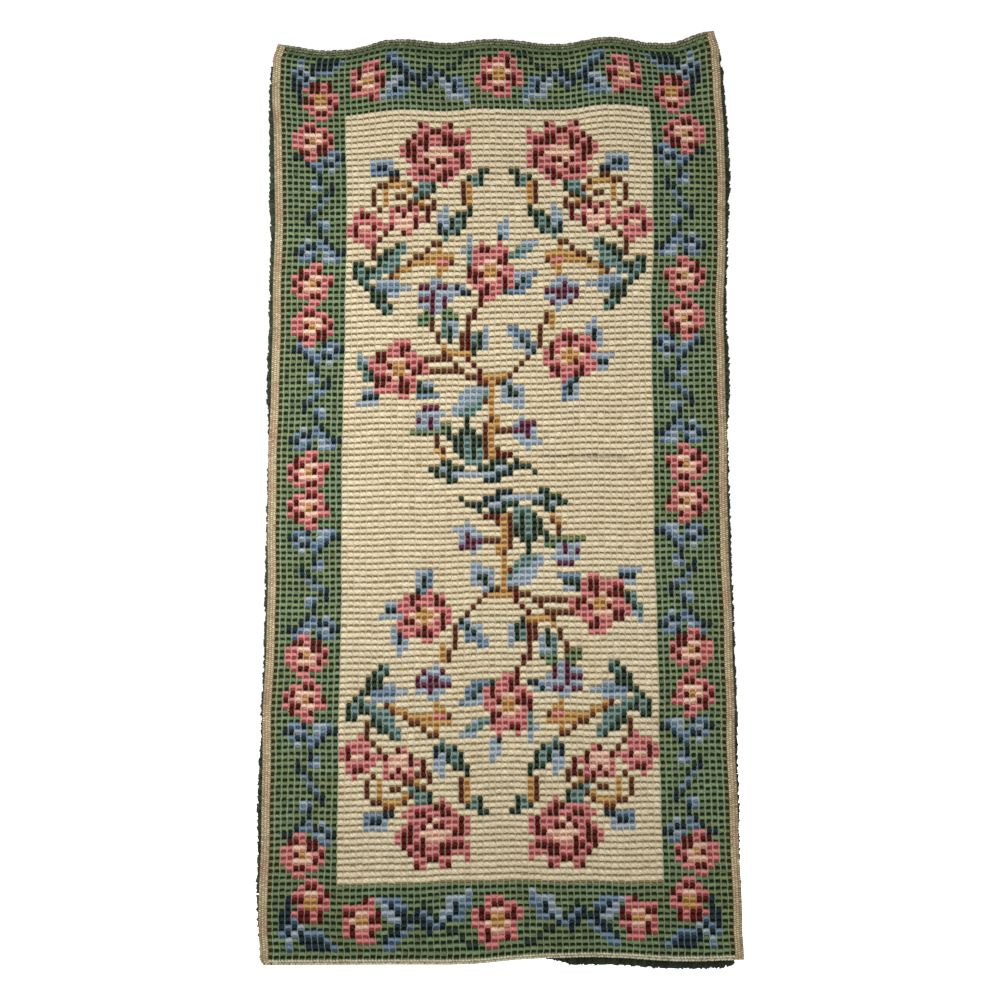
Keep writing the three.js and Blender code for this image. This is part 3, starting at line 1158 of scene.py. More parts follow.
@dataclass
class CanvasSheet:
    """The canvas itself: one sheet with both ends turned to the pile side, behind threads and knots."""

    cloth: Cloth
    chart: Chart
    face_depth: float = 1.25
    sheet: float = 0.7
    turn_radius: float = 0.9
    turn_steps: int = 4
    gap_middle: float = 0.8
    # Painted shade: a dark colour for the open strips, where the pile shows in shadow through the mesh, and
    # its share on the ground under the selvedges.
    bare_fluff: str = "#2C2C16"
    selvedge_fluff: float = 0.55

    def stations(self) -> list[tuple[float, float]]:
        """Angle round the turn and distance down, from the end of one hem to the end of the other."""
        turn_down = self.turn_radius + self.sheet / 2
        low = self.cloth.length - turn_down
        face = [row * self.cloth.row for row in range(1, ROWS)]
        top_hem = [(0.0, down) for down in reversed(face[: self.cloth.hem_rows])]
        foot_hem = [(2 * math.pi, down) for down in reversed(face[-self.cloth.hem_rows :])]
        half = [math.pi * step / self.turn_steps for step in range(self.turn_steps + 1)]
        turn_over = [(angle, turn_down) for angle in half]
        turn_under = [(math.pi + angle, low) for angle in half]
        return top_hem + turn_over + [(math.pi, down) for down in face] + turn_under + foot_hem

    def columns(self) -> np.ndarray:
        """Distances across at which the sheet is cut: each mesh, the open strips and the selvedges."""
        hooked = np.linspace(-self.cloth.hooked_half, self.cloth.hooked_half, COLUMNS + 1)
        open_side = self.cloth.hooked_half + self.cloth.open_edge
        outer = np.array([self.cloth.half_width, open_side + self.cloth.selvedge / 2, open_side])
        return np.concatenate([-outer, hooked, outer[::-1]])

    def build(self) -> bpy.types.Object:
        """Lay a grid along the strip, hang it, colour it and give it its thickness.

        Returns:
            The sheet.
        """
        columns, stations = self.columns(), self.stations()
        put_down_everything()
        bpy.ops.mesh.primitive_grid_add(
            x_subdivisions=len(columns) - 1, y_subdivisions=len(stations) - 1, size=2
        )
        piece = bpy.context.object
        piece.name = piece.data.name = "canvas_ground"
        points = np.array([vertex.co for vertex in piece.data.vertices])
        column = np.rint((points[:, 0] + 1) / 2 * (len(columns) - 1)).astype(int)
        station = np.rint((1 - points[:, 1]) / 2 * (len(stations) - 1)).astype(int)
        angle = np.array([s[0] for s in stations])[station]
        middle = np.array([s[1] for s in stations])[station]
        across, down = self.cloth.pull(columns[column], middle - self.turn_radius * np.sin(angle))
        depth = self.face_depth + self.sheet / 2 + self.turn_radius * (1 + np.cos(angle))
        placed = self.cloth.hang(across, down, depth)
        piece.data.vertices.foreach_set("co", placed.astype(np.float32).ravel())
        piece.data.update()
        self.colour(piece, column - (len(columns) - COLUMNS - 1) // 2, middle)
        self.thicken(piece)
        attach(piece, "root")
        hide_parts("canvas")
        piece.data.materials.append(CANVAS_GROUND.material())
        return piece

    def colour(self, piece: bpy.types.Object, column: np.ndarray, middle: np.ndarray) -> None:
        """Paint each mesh of the ground in painted shade: the hollow shade colour of the yarn that fills
        its hole.

        Args:
            piece: the flat-cut sheet.
            column: line between two columns of knots that each vertex is on, counted from the left.
            middle: distance down of each vertex before the turn.
        """
        deep = self.chart.colours("deep")
        dark = np.array(linear(self.bare_fluff))
        colours = np.zeros((len(piece.data.loops), 4))
        for face in piece.data.polygons:
            corners = list(face.vertices)
            left = column[corners].min()
            above = int(np.clip(round(middle[corners].min() / self.cloth.row), 0, ROWS - 1))
            if 0 <= left < COLUMNS:
                gap = (above + self.gap_middle) * self.cloth.row
                # Painted shade: the yarn's hollow shade colour in the hole, with the crease's painted
                # shadow line and the stains.
                value = deep[above, left].copy()
                value[:3] *= self.cloth.soil(self.cloth.column_middle(left), gap)
            # Painted shade: the open strips show the pile in shadow through the mesh, and the selvedges'
            # ground takes a share of that dark.
            elif left in (-1, COLUMNS):
                value = dark
            else:
                value = np.append(dark[:3], self.selvedge_fluff)
            colours[face.loop_start : face.loop_start + face.loop_total] = value
        attribute = piece.data.attributes.new("fluff", "FLOAT_COLOR", "CORNER")
        attribute.data.foreach_set("color", colours.astype(np.float32).ravel())

    def thicken(self, piece: bpy.types.Object) -> None:
        """Solidify the sheet to its thread thickness, and smooth it."""
        put_down_everything()
        piece.select_set(True)
        bpy.context.view_layer.objects.active = piece
        bpy.ops.object.mode_set(mode="EDIT")
        face_outwards()
        solid = piece.modifiers.new("thickness", "SOLIDIFY")
        solid.thickness = self.sheet * MM
        solid.offset = 0
        bpy.ops.object.modifier_apply(modifier=solid.name)
        bpy.ops.object.shade_smooth()


@dataclass
class KnotBacks:
    """The backs of the knots on the canvas side, one joined mesh for each yarn."""

    cloth: Cloth
    chart: Chart
    materials: dict[Yarn, bpy.types.Material]
    base_depth: float = 1.3
    least_height: float = 0.3
    height_gain: float = 1.65
    width: float = 1.02
    middle: float = 0.21
    fuller_drop: float = 0.05
    width_spread: float = 0.04
    height_spread: float = 0.08
    tilt_spread: float = 0.07
    creep_spread: float = 0.22
    thickness_spread: float = 0.07
    shade_limits: tuple[float, float] = (0.7, 1.3)
    # Painted shade: the lit share of a bar's colour at its root, and how much darker the knots of the top
    # fold are, over how many rows.
    root_depth: float = 0.1
    top_fold_shade: float = 0.5
    top_shade_rows: int = 20
    largest: int = 5000
    random: np.random.Generator = field(default_factory=lambda: np.random.default_rng(SEED))

    def build(self) -> list[bpy.types.Object]:
        """Place every knot. A yarn with more knots than fit one piece is worked in two.

        Returns:
            The pieces.
        """
        shape = modelled_knot_back()
        pieces = []
        for yarn in Yarn:
            columns, rows = self.chart.places(yarn)
            finish = YARN_FINISHES[yarn]
            parts = math.ceil(len(columns) / self.largest)
            for part, chosen in enumerate(np.array_split(np.arange(len(columns)), parts)):
                name = f"knots_{finish.name}" + (f"_{part + 1}" if parts > 1 else "")
                piece = self.place(shape, name, columns[chosen], rows[chosen], finish)
                piece.data.materials.append(self.materials[yarn])
                pieces.append(piece)
        return pieces

    def place(
        self, shape: Shape, name: str, columns: np.ndarray, rows: np.ndarray, finish: YarnFinish
    ) -> bpy.types.Object:
        """Put one knot back at each place, each a little different.

        Args:
            shape: the knot back.
            name: name of the piece.
            columns: column of each knot.
            rows: row of each knot.
            finish: the yarn, whose fullness is the bar's share of the mesh height.

        Returns:
            The joined piece.
        """
        count, points = len(columns), shape.points[None]
        jitter = self.random.normal(0, 1, (5, count, 1))
        wide = self.width * self.cloth.column * (1 + self.width_spread * jitter[0])
        along = points[..., 0] * wide
        upward = points[..., 1] * finish.fullness * self.cloth.row * (1 + self.height_spread * jitter[1])
        tilt = self.tilt_spread * jitter[2]
        across = self.cloth.column_middle(columns[:, None]) + along - upward * tilt
        bar_middle = self.middle + self.fuller_drop * (finish.fullness - 0.5)
        bar_down = (rows[:, None] + bar_middle) * self.cloth.row
        down = bar_down - upward - along * tilt + self.creep_spread * jitter[3]
        height = self.least_height + self.height_gain * finish.fullness
        high = points[..., 2] * height * (1 + self.thickness_spread * jitter[4])
        across, down = self.cloth.pull(across, down)
        placed = self.cloth.hang(across, down, self.base_depth - high)
        shade = np.clip(1 + finish.variety * self.random.normal(0, 1, (count, 1)), *self.shade_limits)
        worn = self.cloth.wear(bar_down)
        # Painted shade: the knots along the top fold are darker, as the fold turns away from the light.
        dulled = self.top_fold_shade * worn * (rows[:, None] < self.top_shade_rows)
        # The painted shadow line of the crease, and the stains, darken it further.
        shade = shade * (1 - dulled) * self.cloth.soil(across, down)
        worn = np.repeat(worn, len(shape.points), axis=1)
        # Painted shade: from the lit colour at a bar's crest to its hollow shade colour at the root.
        depth = np.repeat(self.root_depth + (1 - self.root_depth) * points[..., 2], count, axis=0)
        offset = self.random.uniform(0, TWIST_START, (count, 1))
        yarn_place = np.stack([along + offset, upward, high], axis=-1)
        return shape.joined(name, placed, shade=shade, depth=depth, yarn_place=yarn_place, worn=worn)


@dataclass
class Pile:
    """The cut pile on the wall side: two ends of yarn from every knot, flopped down.

    Lengths are in millimetres. The curves give a share at each station along an end, from knot to tip.
    side_fall is the fall of the outermost column: its middle, how far a knot's two ends differ, and
    its spread. depth_curve, side_depth and foot_depth paint shade: they give the share of the lit
    colour over the hollow shade colour, darker at the root, and darker still past the selvedges and
    the foot, where the pile hangs in the cloth's shadow.
    """

    cloth: Cloth
    chart: Chart
    materials: dict[Yarn, bpy.types.Material]
    end_length: float = 27.0
    length_spread: float = 0.08
    length_limits: tuple[float, float] = (0.8, 1.2)
    ends_apart: float = 1.7
    knot_down: float = 0.45
    knot_behind: float = 1.9
    outward_shares: tuple[float, float] = (0.62, 0.98)
    lean_spread: float = 3.2
    lean_ripple: Ripple = Ripple(2.5, 47, 70)
    side_leans: tuple[float, ...] = (0.5, 0.2)
    side_own_lean: float = 0.5
    side_inset: float = 0.95
    side_uneven: tuple[float, float] = (-0.6, 1.4)
    lean_cost: float = 0.8
    least_fall: float = 5.0
    side_fall: tuple[float, float, float] = (2.0, 1.9, 0.9)
    side_outward: float = 0.75
    foot_rows: int = 3
    foot_lean: float = 0.3
    foot_clearance: float = 2.2
    foot_uneven: tuple[float, float] = (-0.5, 0.3)
    lean_curve: tuple[float, ...] = (0.0, 0.45, 1.0)
    fall_curve: tuple[float, ...] = (0.0, 0.25, 1.0)
    out_curve: tuple[float, ...] = (0.0, 0.8, 1.0)
    sunk: float = 0.6
    radius: float = 2.3
    radius_curve: tuple[float, ...] = (0.7, 1.05, 0.95)
    side_margin: float = 4.0
    foot_margin: float = 10.0
    side_fuller: float = 0.85
    foot_fuller: float = 0.9
    depth_curve: tuple[float, ...] = (0.0, 0.5, 0.9)
    side_depth: float = 0.2
    foot_depth: float = 0.05
    shade_spread: float = 0.1
    edge_shade_spread: float = 0.3
    shade_limits: tuple[float, float] = (0.5, 1.6)
    random: np.random.Generator = field(default_factory=lambda: np.random.default_rng(SEED + 1))

    def build(self) -> list[bpy.types.Object]:
        """Place every yarn end.

        Returns:
            The pieces, one for each yarn.
        """
        shape = modelled_strand(3, len(self.lean_curve))
        pieces = []
        for yarn in Yarn:
            columns, rows = self.chart.places(yarn)
            finish = YARN_FINISHES[yarn]
            piece = self.place(shape, f"pile_{finish.name}", columns, rows)
            piece.data.materials.append(self.materials[yarn])
            if yarn is Yarn.CREAM:
                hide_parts("pile_field")
            if yarn is Yarn.GREEN:
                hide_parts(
                    "pile_border_top", "pile_border_foot", "pile_border_left", "pile_border_right"
                )
            pieces.append(piece)
        return pieces

    def centre_lines(self, columns: np.ndarray, rows: np.ndarray) -> np.ndarray:
        """The line that each yarn end follows, in the flat cloth's own distances.

        Args:
            columns: column of each end's knot.
            rows: row of each end's knot.

        Returns:
            An array of ends, stations and (across, down, behind).
        """
        cloth, count, random = self.cloth, len(columns), self.random
        side = np.tile([-1.0, 1.0], count // 2)
        start_across = cloth.column_middle(columns) + self.ends_apart * side
        start_down = (rows + self.knot_down) * cloth.row
        near_end = np.minimum(start_down, cloth.length - start_down)
        hem_behind = 2 * cloth.thickness + cloth.hem_gap
        start_behind = np.where(near_end < cloth.hem, hem_behind, self.knot_behind)
        length = random.normal(1, self.length_spread, count)
        length = self.end_length * np.clip(length, *self.length_limits)
        deepest = cloth.pile_back(start_across, start_down) - start_behind
        outward = deepest * random.uniform(*self.outward_shares, count)
        from_side = (cloth.hooked_half - np.abs(start_across)) / cloth.column
        outermost = from_side < 1
        lean = self.leans(start_across, start_down, from_side)
        fall = length**2 - outward**2 - self.lean_cost * lean**2
        fall = np.sqrt(np.maximum(fall, self.least_fall**2))
        middle, apart, spread = self.side_fall
        fall = np.where(outermost, middle + apart * side + random.uniform(-spread, spread, count), fall)
        outward = np.where(outermost, self.side_outward * outward, outward)
        under = swell(start_across - cloth.foot_pile.across, cloth.foot_pile.half_width)
        below = -cloth.foot_pile.lift * np.minimum(cloth.foot_pile_plateau * under, 1)
        room = cloth.length - self.foot_clearance - start_down + below
        room = room + random.uniform(*self.foot_uneven, count)
        shows = (below > 1) & (rows >= ROWS - self.foot_rows)
        lean = np.where(shows, self.foot_lean * lean, lean)
        fall = np.where(shows, room, np.minimum(fall, room))
        return np.stack([
            start_across[:, None] + lean[:, None] * self.lean_curve,
            start_down[:, None] + fall[:, None] * self.fall_curve,
            start_behind[:, None] + outward[:, None] * self.out_curve,
        ], axis=-1)

    def leans(self, across: np.ndarray, down: np.ndarray, from_side: np.ndarray) -> np.ndarray:
        """How far sideways each yarn end lies. Those near a selvedge reach out past it.

        Args:
            across: distance across of each knot.
            down: distance down of each knot.
            from_side: columns between each knot and the nearer side of the hooking.

        Returns:
            The distance from knot to tip, across the cloth.
        """
        cloth, count = self.cloth, len(across)
        lean = self.lean_spread * self.random.normal(0, 1, count)
        lean = lean + cloth.rippled((self.lean_ripple,), across, down)
        left, right = (cloth.eased(cloth.fringes, name, down) for name in ("left", "right"))
        fringe = np.where(across < 0, left, right)
        reach = cloth.half_width + fringe - self.side_inset * self.radius - np.abs(across)
        reach = np.sign(across) * (reach - self.random.uniform(*self.side_uneven, count))
        for column, share in enumerate(self.side_leans, start=1):
            in_column = (from_side >= column) & (from_side < column + 1)
            lean = np.where(in_column, share * reach + self.side_own_lean * lean, lean)
        return np.where(from_side < 1, reach, lean)

    def place(
        self, shape: Shape, name: str, columns: np.ndarray, rows: np.ndarray
    ) -> bpy.types.Object:
        """Bend a strand along the line of each yarn end.

        Args:
            shape: the straight strand.
            name: name of the piece.
            columns: column of each knot.
            rows: row of each knot.

        Returns:
            The joined piece.
        """
        columns, rows = np.repeat(columns, 2), np.repeat(rows, 2)
        count = len(columns)
        lines = self.centre_lines(columns, rows)
        along = np.gradient(lines, axis=1)
        along /= np.linalg.norm(along, axis=2, keepdims=True)
        roll = self.random.uniform(0, 2 * np.pi, count)
        station = np.rint(shape.points[:, 2]).astype(int)
        thick = np.array(self.radius_curve)[station] * self.radius
        sideways = np.array([1.0, 0.0, 0.0]) - along[:, :, :1] * along
        sideways /= np.linalg.norm(sideways, axis=2, keepdims=True)
        upward = np.cross(along, sideways)
        angle = np.arctan2(shape.points[:, 1], shape.points[:, 0])[None, :] + roll[:, None]
        past_side = np.abs(lines[:, -1, 0]) > self.cloth.half_width - self.side_margin
        past_foot = lines[:, -1, 1] > self.cloth.length - self.foot_margin
        fuller = 1 + (station > 0) * (self.side_fuller * past_side + self.foot_fuller * past_foot)[:, None]
        ring = thick[None, :] * np.hypot(shape.points[:, 0], shape.points[:, 1])[None, :] * fuller
        level, steep = ring * np.cos(angle), ring * np.sin(angle)
        body = (
            lines[:, station]
            + level[..., None] * sideways[:, station]
            + steep[..., None] * upward[:, station]
        )
        body[..., 2] = np.maximum(body[..., 2], lines[:, :1, 2] - self.sunk)
        placed = self.cloth.hang(body[..., 0], body[..., 1], body[..., 2])
        spread = np.where(past_foot | past_side, self.edge_shade_spread, self.shade_spread)[:, None]
        shade = np.clip(1 + spread * self.random.normal(0, 1, (count, 1)), *self.shade_limits)
        shade = np.repeat(shade, len(shape.points), axis=1)
        # Painted shade: each end darkens towards its root, and ends past a selvedge or the foot are painted
        # dark, as they hang in the cloth's shadow.
        past = np.where(past_foot, self.foot_depth, np.where(past_side, self.side_depth, 1.0))
        depth = np.array(self.depth_curve)[station] * past[:, None]
        length = self.end_length * station / station.max()
        offset = self.random.uniform(0, TWIST_START, (count, 1))
        yarn_place = np.stack([length + offset, level, steep], axis=-1)
        return shape.joined(name, placed, shade=shade, depth=depth, yarn_place=yarn_place)


@dataclass(frozen=True)
class FoldLine:
    """The doubled weft along one fold: two rows of slanted picks, with loose yarn fibre and painted shade
    on them.

    Lengths are in millimetres. A first row with a distance below zero is measured up from the foot.
    """

    name: str
    first_down: float
    between: float
    high: float
    fluff: str
    crest_share: float
    end_share: float


@dataclass
class CanvasThreads:
    """The threads of the canvas that show: warps between the columns, wefts at the open edges."""

    cloth: Cloth
    chart: Chart
    warp_radius: float = 1.4
    warp_thickness: float = 0.68
    warp_depth: float = 0.8
    twist: float = 0.22
    on_bar: float = 0.27
    in_hole: float = 0.77
    end_gap: float = 0.8
    wander: float = 0.16
    slimmer: float = 0.4
    slim_from_row: float = 128.0
    slim_rows: float = 14.0
    bar_fluff: float = 0.66
    # Painted shade: between two bars the warps take the yarn's colour mixed with its hollow shade colour.
    hole_fluff: float = 0.92
    shade_gain: float = 1.6
    least_fullness: float = 0.2
    shade_limits: tuple[float, float] = (0.3, 0.95)
    bare_rows: float = 1.6
    matted_rows: float = 3.0
    matted_fade: float = 1.5
    weft_down: float = 0.24
    weft_high: float = 3.4
    weft_behind: float = 1.5
    weft_thick: float = 0.9
    # Painted shade: the bare wefts of the open strips take a dark olive, as they lie in shade.
    weft_fluff: str = "#666C40"
    weft_fluff_share: float = 0.9
    fold_pitch: float = 3.73
    fold_slant: float = 0.22
    fold_behind: float = 0.4
    fold_step_back: float = 0.5
    fold_thick: float = 1.2
    fold_lengths: tuple[float, float] = (0.98, 0.05)
    fold_creep: float = 0.15
    fold_margin: float = 0.3
    fold_line_fluff: float = 0.2
    fold_fluff_spread: float = 0.12
    top_fold: FoldLine = FoldLine(
        "top_wefts",
        first_down=2.0, between=3.4, high=3.9, fluff="#6C6A50", crest_share=0.8, end_share=0.2,
    )
    foot_fold: FoldLine = FoldLine(
        "foot_wefts",
        first_down=-5.4, between=3.3, high=3.8, fluff="#5A4028", crest_share=0.02, end_share=0.34,
    )
    random: np.random.Generator = field(default_factory=lambda: np.random.default_rng(SEED + 2))

    def build(self) -> list[bpy.types.Object]:
        """The warp threads, the wefts of the open strips and the picks along both folds.

        Returns:
            The pieces.
        """
        material = CANVAS_THREAD.material()
        pieces = [
            self.warps(),
            self.open_wefts(),
            self.fold_picks(self.foot_fold),
            self.fold_picks(self.top_fold),
        ]
        for piece in pieces:
            piece.data.materials.append(material)
        return pieces

    def warps(self) -> bpy.types.Object:
        """One thread down every line between two columns, and one at each edge of the hooking."""
        lines, stops = COLUMNS + 1, 2 * ROWS + 2
        shape = modelled_strand(4, stops)
        station = np.rint(shape.points[:, 2]).astype(int)
        rows = np.arange(ROWS)
        inner = np.stack([rows + self.on_bar, rows + self.in_hole], axis=1).ravel() * self.cloth.row
        stops_down = np.concatenate([[self.end_gap], inner, [self.cloth.length - self.end_gap]])
        wander = self.random.normal(0, self.wander, (lines, stops))
        past = (stops_down / self.cloth.row - self.slim_from_row) / self.slim_rows
        slim = 1 - self.slimmer * np.clip(past, 0, 1)
        leno = self.twist * np.where(np.arange(stops) // 2 % 2, 1, -1)
        across = self.line_across()[:, None] + wander[:, station] + leno[station]
        across = across + shape.points[None, :, 0] * self.warp_radius * slim[station]
        down = np.repeat(stops_down[station][None, :], lines, axis=0)
        behind = self.warp_depth - shape.points[:, 1] * self.warp_thickness
        behind = np.repeat(behind[None, :], lines, axis=0)
        across, down = self.cloth.pull(across, down)
        placed = self.cloth.hang(across, down, behind)
        return shape.joined("warp_threads", placed, fluff=self.fluff()[:, station])

    def line_across(self) -> np.ndarray:
        """Distance across of each line between two columns."""
        return np.arange(COLUMNS + 1) * self.cloth.column - self.cloth.hooked_half

    def fluff(self) -> np.ndarray:
        """Colour that the warps take from the yarn at both sides, with their painted shade, by line and
        station.

        Beside a bar the yarn's loose fibre is pale and thin. Between two bars the thread lies in their
        shade, which is painted on it as a mix of the yarn's lit and hollow shade colours.
        """
        lit, deep = (self.chart.colours(shade)[:, :, :3] for shade in ("lit", "deep"))
        cover = self.chart.fullness()[:, :, None]
        shaded = np.clip(self.shade_gain * (cover - self.least_fullness), *self.shade_limits)
        # Painted shade for the warps between two bars.
        in_shade = lit * (1 - shaded) + deep * shaded
        stations = []
        for yarn, share in ((lit, self.bar_fluff), (in_shade, self.hole_fluff)):
            left = np.concatenate([yarn[:, :1], yarn], axis=1)
            right = np.concatenate([yarn, yarn[:, -1:]], axis=1)
            beside = (left + right) / 2
            stations.append(np.concatenate([beside, np.full(beside.shape[:2] + (1,), share)], axis=2))
        inner = np.stack(stations, axis=1).reshape(2 * ROWS, COLUMNS + 1, 4)
        row = np.arange(2 * ROWS)[:, None] / 2
        bar_down = (row + self.on_bar) * self.cloth.row
        # The painted shadow line of the crease, and the stains.
        inner[..., :3] *= self.cloth.soil(self.line_across(), bar_down)[..., None]
        # Painted shade in part: along the top fold the warps take half the corner yarn's lit colour and
        # half its hollow shade colour.
        covered = np.clip((self.matted_rows - row) / self.matted_fade, 0, 1)[..., None]
        matt = np.concatenate([(lit + deep)[:1, :1] / 2, np.ones((1, 1, 1))], axis=2)
        inner = inner * (1 - covered) + matt * covered
        inner[..., 3] *= np.clip((ROWS - row) / self.bare_rows, 0, 1)
        return np.concatenate([inner[:1], inner, inner[-1:]], axis=0).transpose(1, 0, 2)

    def open_wefts(self) -> bpy.types.Object:
        """The bare weft threads that cross the unhooked strip beside each selvedge."""
        shape = modelled_knot_back()
        rows = np.repeat(np.arange(ROWS), 2)
        side = np.tile([-1.0, 1.0], ROWS)
        middle = side * (self.cloth.hooked_half + self.cloth.open_edge / 2)
        across = middle[:, None] + shape.points[None, :, 0] * (self.cloth.open_edge + 1)
        down = (rows[:, None] + self.weft_down) * self.cloth.row - shape.points[None, :, 1] * self.weft_high
        behind = self.weft_behind - shape.points[None, :, 2] * self.weft_thick
        behind = np.repeat(behind, len(rows), axis=0)
        across, down = self.cloth.pull(across, down)
        placed = self.cloth.hang(across, down, behind)
        # Painted shade on the bare wefts.
        fluff = np.tile(np.array(linear(self.weft_fluff)), (len(rows), len(shape.points), 1))
        fluff[..., 3] = self.weft_fluff_share
        return shape.joined("open_strip_wefts", placed, fluff=fluff)

    def fold_picks(self, fold: FoldLine) -> bpy.types.Object:
        """Lay the picks along one fold, two to a column.

        Args:
            fold: the fold's two rows of picks.

        Returns:
            The joined piece.
        """
        shape = modelled_pick()
        reach = self.cloth.hooked_half + self.cloth.open_edge
        picks = int(2 * reach / self.fold_pitch)
        middle = -reach + (np.arange(picks) + 0.5) * 2 * reach / picks
        middle = np.repeat(middle, 2)
        line = np.tile([0.0, 1.0], picks)[:, None]
        jitter = self.random.normal(0, 1, (3, 2 * picks, 1))
        usual, spread = self.fold_lengths
        along = shape.points[None, :, 0] * self.fold_pitch * (usual + spread * jitter[0])
        across = middle[:, None] + 0.5 * line * self.fold_pitch + along
        slant = np.where(line > 0, -self.fold_slant, self.fold_slant)
        upward = shape.points[None, :, 1] * fold.high - along * slant
        first_down = fold.first_down if fold.first_down > 0 else self.cloth.length + fold.first_down
        down = first_down + fold.between * line - upward + self.fold_creep * jitter[1]
        down = np.clip(down, self.fold_margin, self.cloth.length - self.fold_margin)
        behind = self.fold_behind + self.fold_step_back * line - shape.points[None, :, 2] * self.fold_thick
        placed = self.cloth.hang(across, down, behind)
        colour = np.tile(np.array(linear(fold.fluff)), (2 * picks, len(shape.points), 1))
        # Painted shade: more of the dark colour towards the low ends of each pick.
        share = fold.crest_share + fold.end_share * (1 - shape.points[None, :, 2])
        share = share + self.fold_line_fluff * (line - 0.5) + self.fold_fluff_spread * jitter[2]
        colour[..., 3] = np.clip(share, 0, 1)
        return shape.joined(fold.name, placed, fluff=colour)


@dataclass
class Selvedges:
    """The two woven edges: three cords side by side, each covered with close picks.

    Widths and heights of the picks are shares of the cord and of the pitch: the usual share and its spread.
    """

    cloth: Cloth
    pitch: float = 2.55
    cords: int = 3
    cord_shift: float = 0.33
    slant: float = 0.3
    end_gap: float = 1.5
    cord_behind: float = 1.5
    pick_thick: float = 1.2
    widths: tuple[float, float] = (0.98, 0.04)
    heights: tuple[float, float] = (0.98, 0.05)
    creep: float = 0.15
    margin: float = 0.5
    # Painted shade: a dark colour on the outer cord, as in shadow at the edge, and down between the picks;
    # its share differs at random from pick to pick.
    pick_shade: str = "#6E5038"
    outer_cord_shade: float = 0.22
    between_picks: float = 0.85
    pick_shade_spread: float = 0.16
    random: np.random.Generator = field(default_factory=lambda: np.random.default_rng(SEED + 3))

    def build(self) -> list[bpy.types.Object]:
        """Both selvedges.

        Returns:
            The two pieces.
        """
        shape = modelled_pick()
        material = CANVAS_SELVEDGE.material()
        pieces = []
        for name, side in (("selvedge_left", -1.0), ("selvedge_right", 1.0)):
            piece = self.place(shape, name, side)
            piece.data.materials.append(material)
            pieces.append(piece)
        return pieces

    def place(self, shape: Shape, name: str, side: float) -> bpy.types.Object:
        """Lay the picks of one selvedge.

        Args:
            shape: one pick.
            name: name of the piece.
            side: minus one for the left, one for the right.

        Returns:
            The joined piece.
        """
        steps = int((self.cloth.length - 2 * self.end_gap) / self.pitch)
        count = steps * self.cords
        step = np.repeat(np.arange(steps), self.cords)[:, None]
        cord = np.tile(np.arange(self.cords), steps)[:, None]
        jitter = self.random.normal(0, 1, (4, count, 1))
        width = self.cloth.selvedge / self.cords
        middle = side * (self.cloth.half_width - width * (0.5 + cord))
        along = shape.points[None, :, 0] * width * (self.widths[0] + self.widths[1] * jitter[0])
        upward = shape.points[None, :, 1] * self.pitch * (self.heights[0] + self.heights[1] * jitter[1])
        slant = np.where(cord % 2 > 0, self.slant, -self.slant) * side
        down = self.end_gap + (step + 0.5 + self.cord_shift * cord) * self.pitch
        down = down - upward + along * slant + self.creep * jitter[2]
        down = np.clip(down, self.margin, self.cloth.length - self.margin)
        behind = self.cord_behind - shape.points[None, :, 2] * self.pick_thick
        across, down = self.cloth.pull(middle + along, down)
        placed = self.cloth.hang(across, down, np.broadcast_to(behind, down.shape))
        # Painted shade: the outer cord darker, and each pick darker towards its low ends between the picks.
        fluff = np.tile(np.array(linear(self.pick_shade)), (count, len(shape.points), 1))
        outer_cord_shade = np.where(cord == 0, self.outer_cord_shade, 0.0)
        hollow = self.between_picks * (1 - shape.points[None, :, 2])
        fluff[..., 3] = np.clip(outer_cord_shade + hollow + self.pick_shade_spread * jitter[3], 0, 1)
        return shape.joined(name, placed, fluff=fluff)


@dataclass
class LooseStrand:
    """One end of navy yarn that has worked through to the canvas side and lies on the field."""

    cloth: Cloth
    material: bpy.types.Material
    start: tuple[float, float] = (81.0, 447.0)
    end: tuple[float, float] = (103.0, 431.0)
    radius: float = 0.9
    length: float = 27.0
    sag: float = 1.2
    lifted: float = 0.9
    off_canvas: float = 0.2
    depth: float = 0.8
    tip_taper: float = 0.6
    sides: int = 6
    stations: int = 9

    def build(self) -> bpy.types.Object:
        """Lay the strand from its knot, in a shallow bow.

        Returns:
            The strand.
        """
        shape = modelled_strand(self.sides, self.stations)
        share = shape.points[:, 2] / (self.stations - 1)
        taper = self.radius * (1 - self.tip_taper * share**3)
        bow = np.sin(np.pi * share)
        run = np.array(self.end) - np.array(self.start)
        across_line = np.array([-run[1], run[0]]) / np.hypot(*run)
        across = self.start[0] + run[0] * share + across_line[0] * shape.points[:, 0] * taper
        down = self.start[1] + run[1] * share + across_line[1] * shape.points[:, 0] * taper
        down = down + self.sag * bow
        behind = -self.off_canvas - self.lifted * bow - shape.points[:, 1] * taper
        placed = self.cloth.hang(across, down, behind)[None]
        ones = np.ones((1, len(shape.points)))
        yarn_place = np.stack([share * self.length, shape.points[:, 0], shape.points[:, 1]], axis=-1)[None]
        depth = self.depth * ones
        piece = shape.joined("loose_strand", placed, shade=ones, depth=depth, yarn_place=yarn_place)
        piece.data.materials.append(self.material)
        return piece


# ---------------------------------------------------------------- floor, light and camera


@dataclass(frozen=True)
class Lamp:
    """A soft lamp: its place, its width and height, its power and the point that it faces.

    Without a point it faces the middle of the hanging.
    """

    name: str
    place: tuple[float, float, float]
    size: tuple[float, float]
    power: float
    target: tuple[float, float, float] | None = None


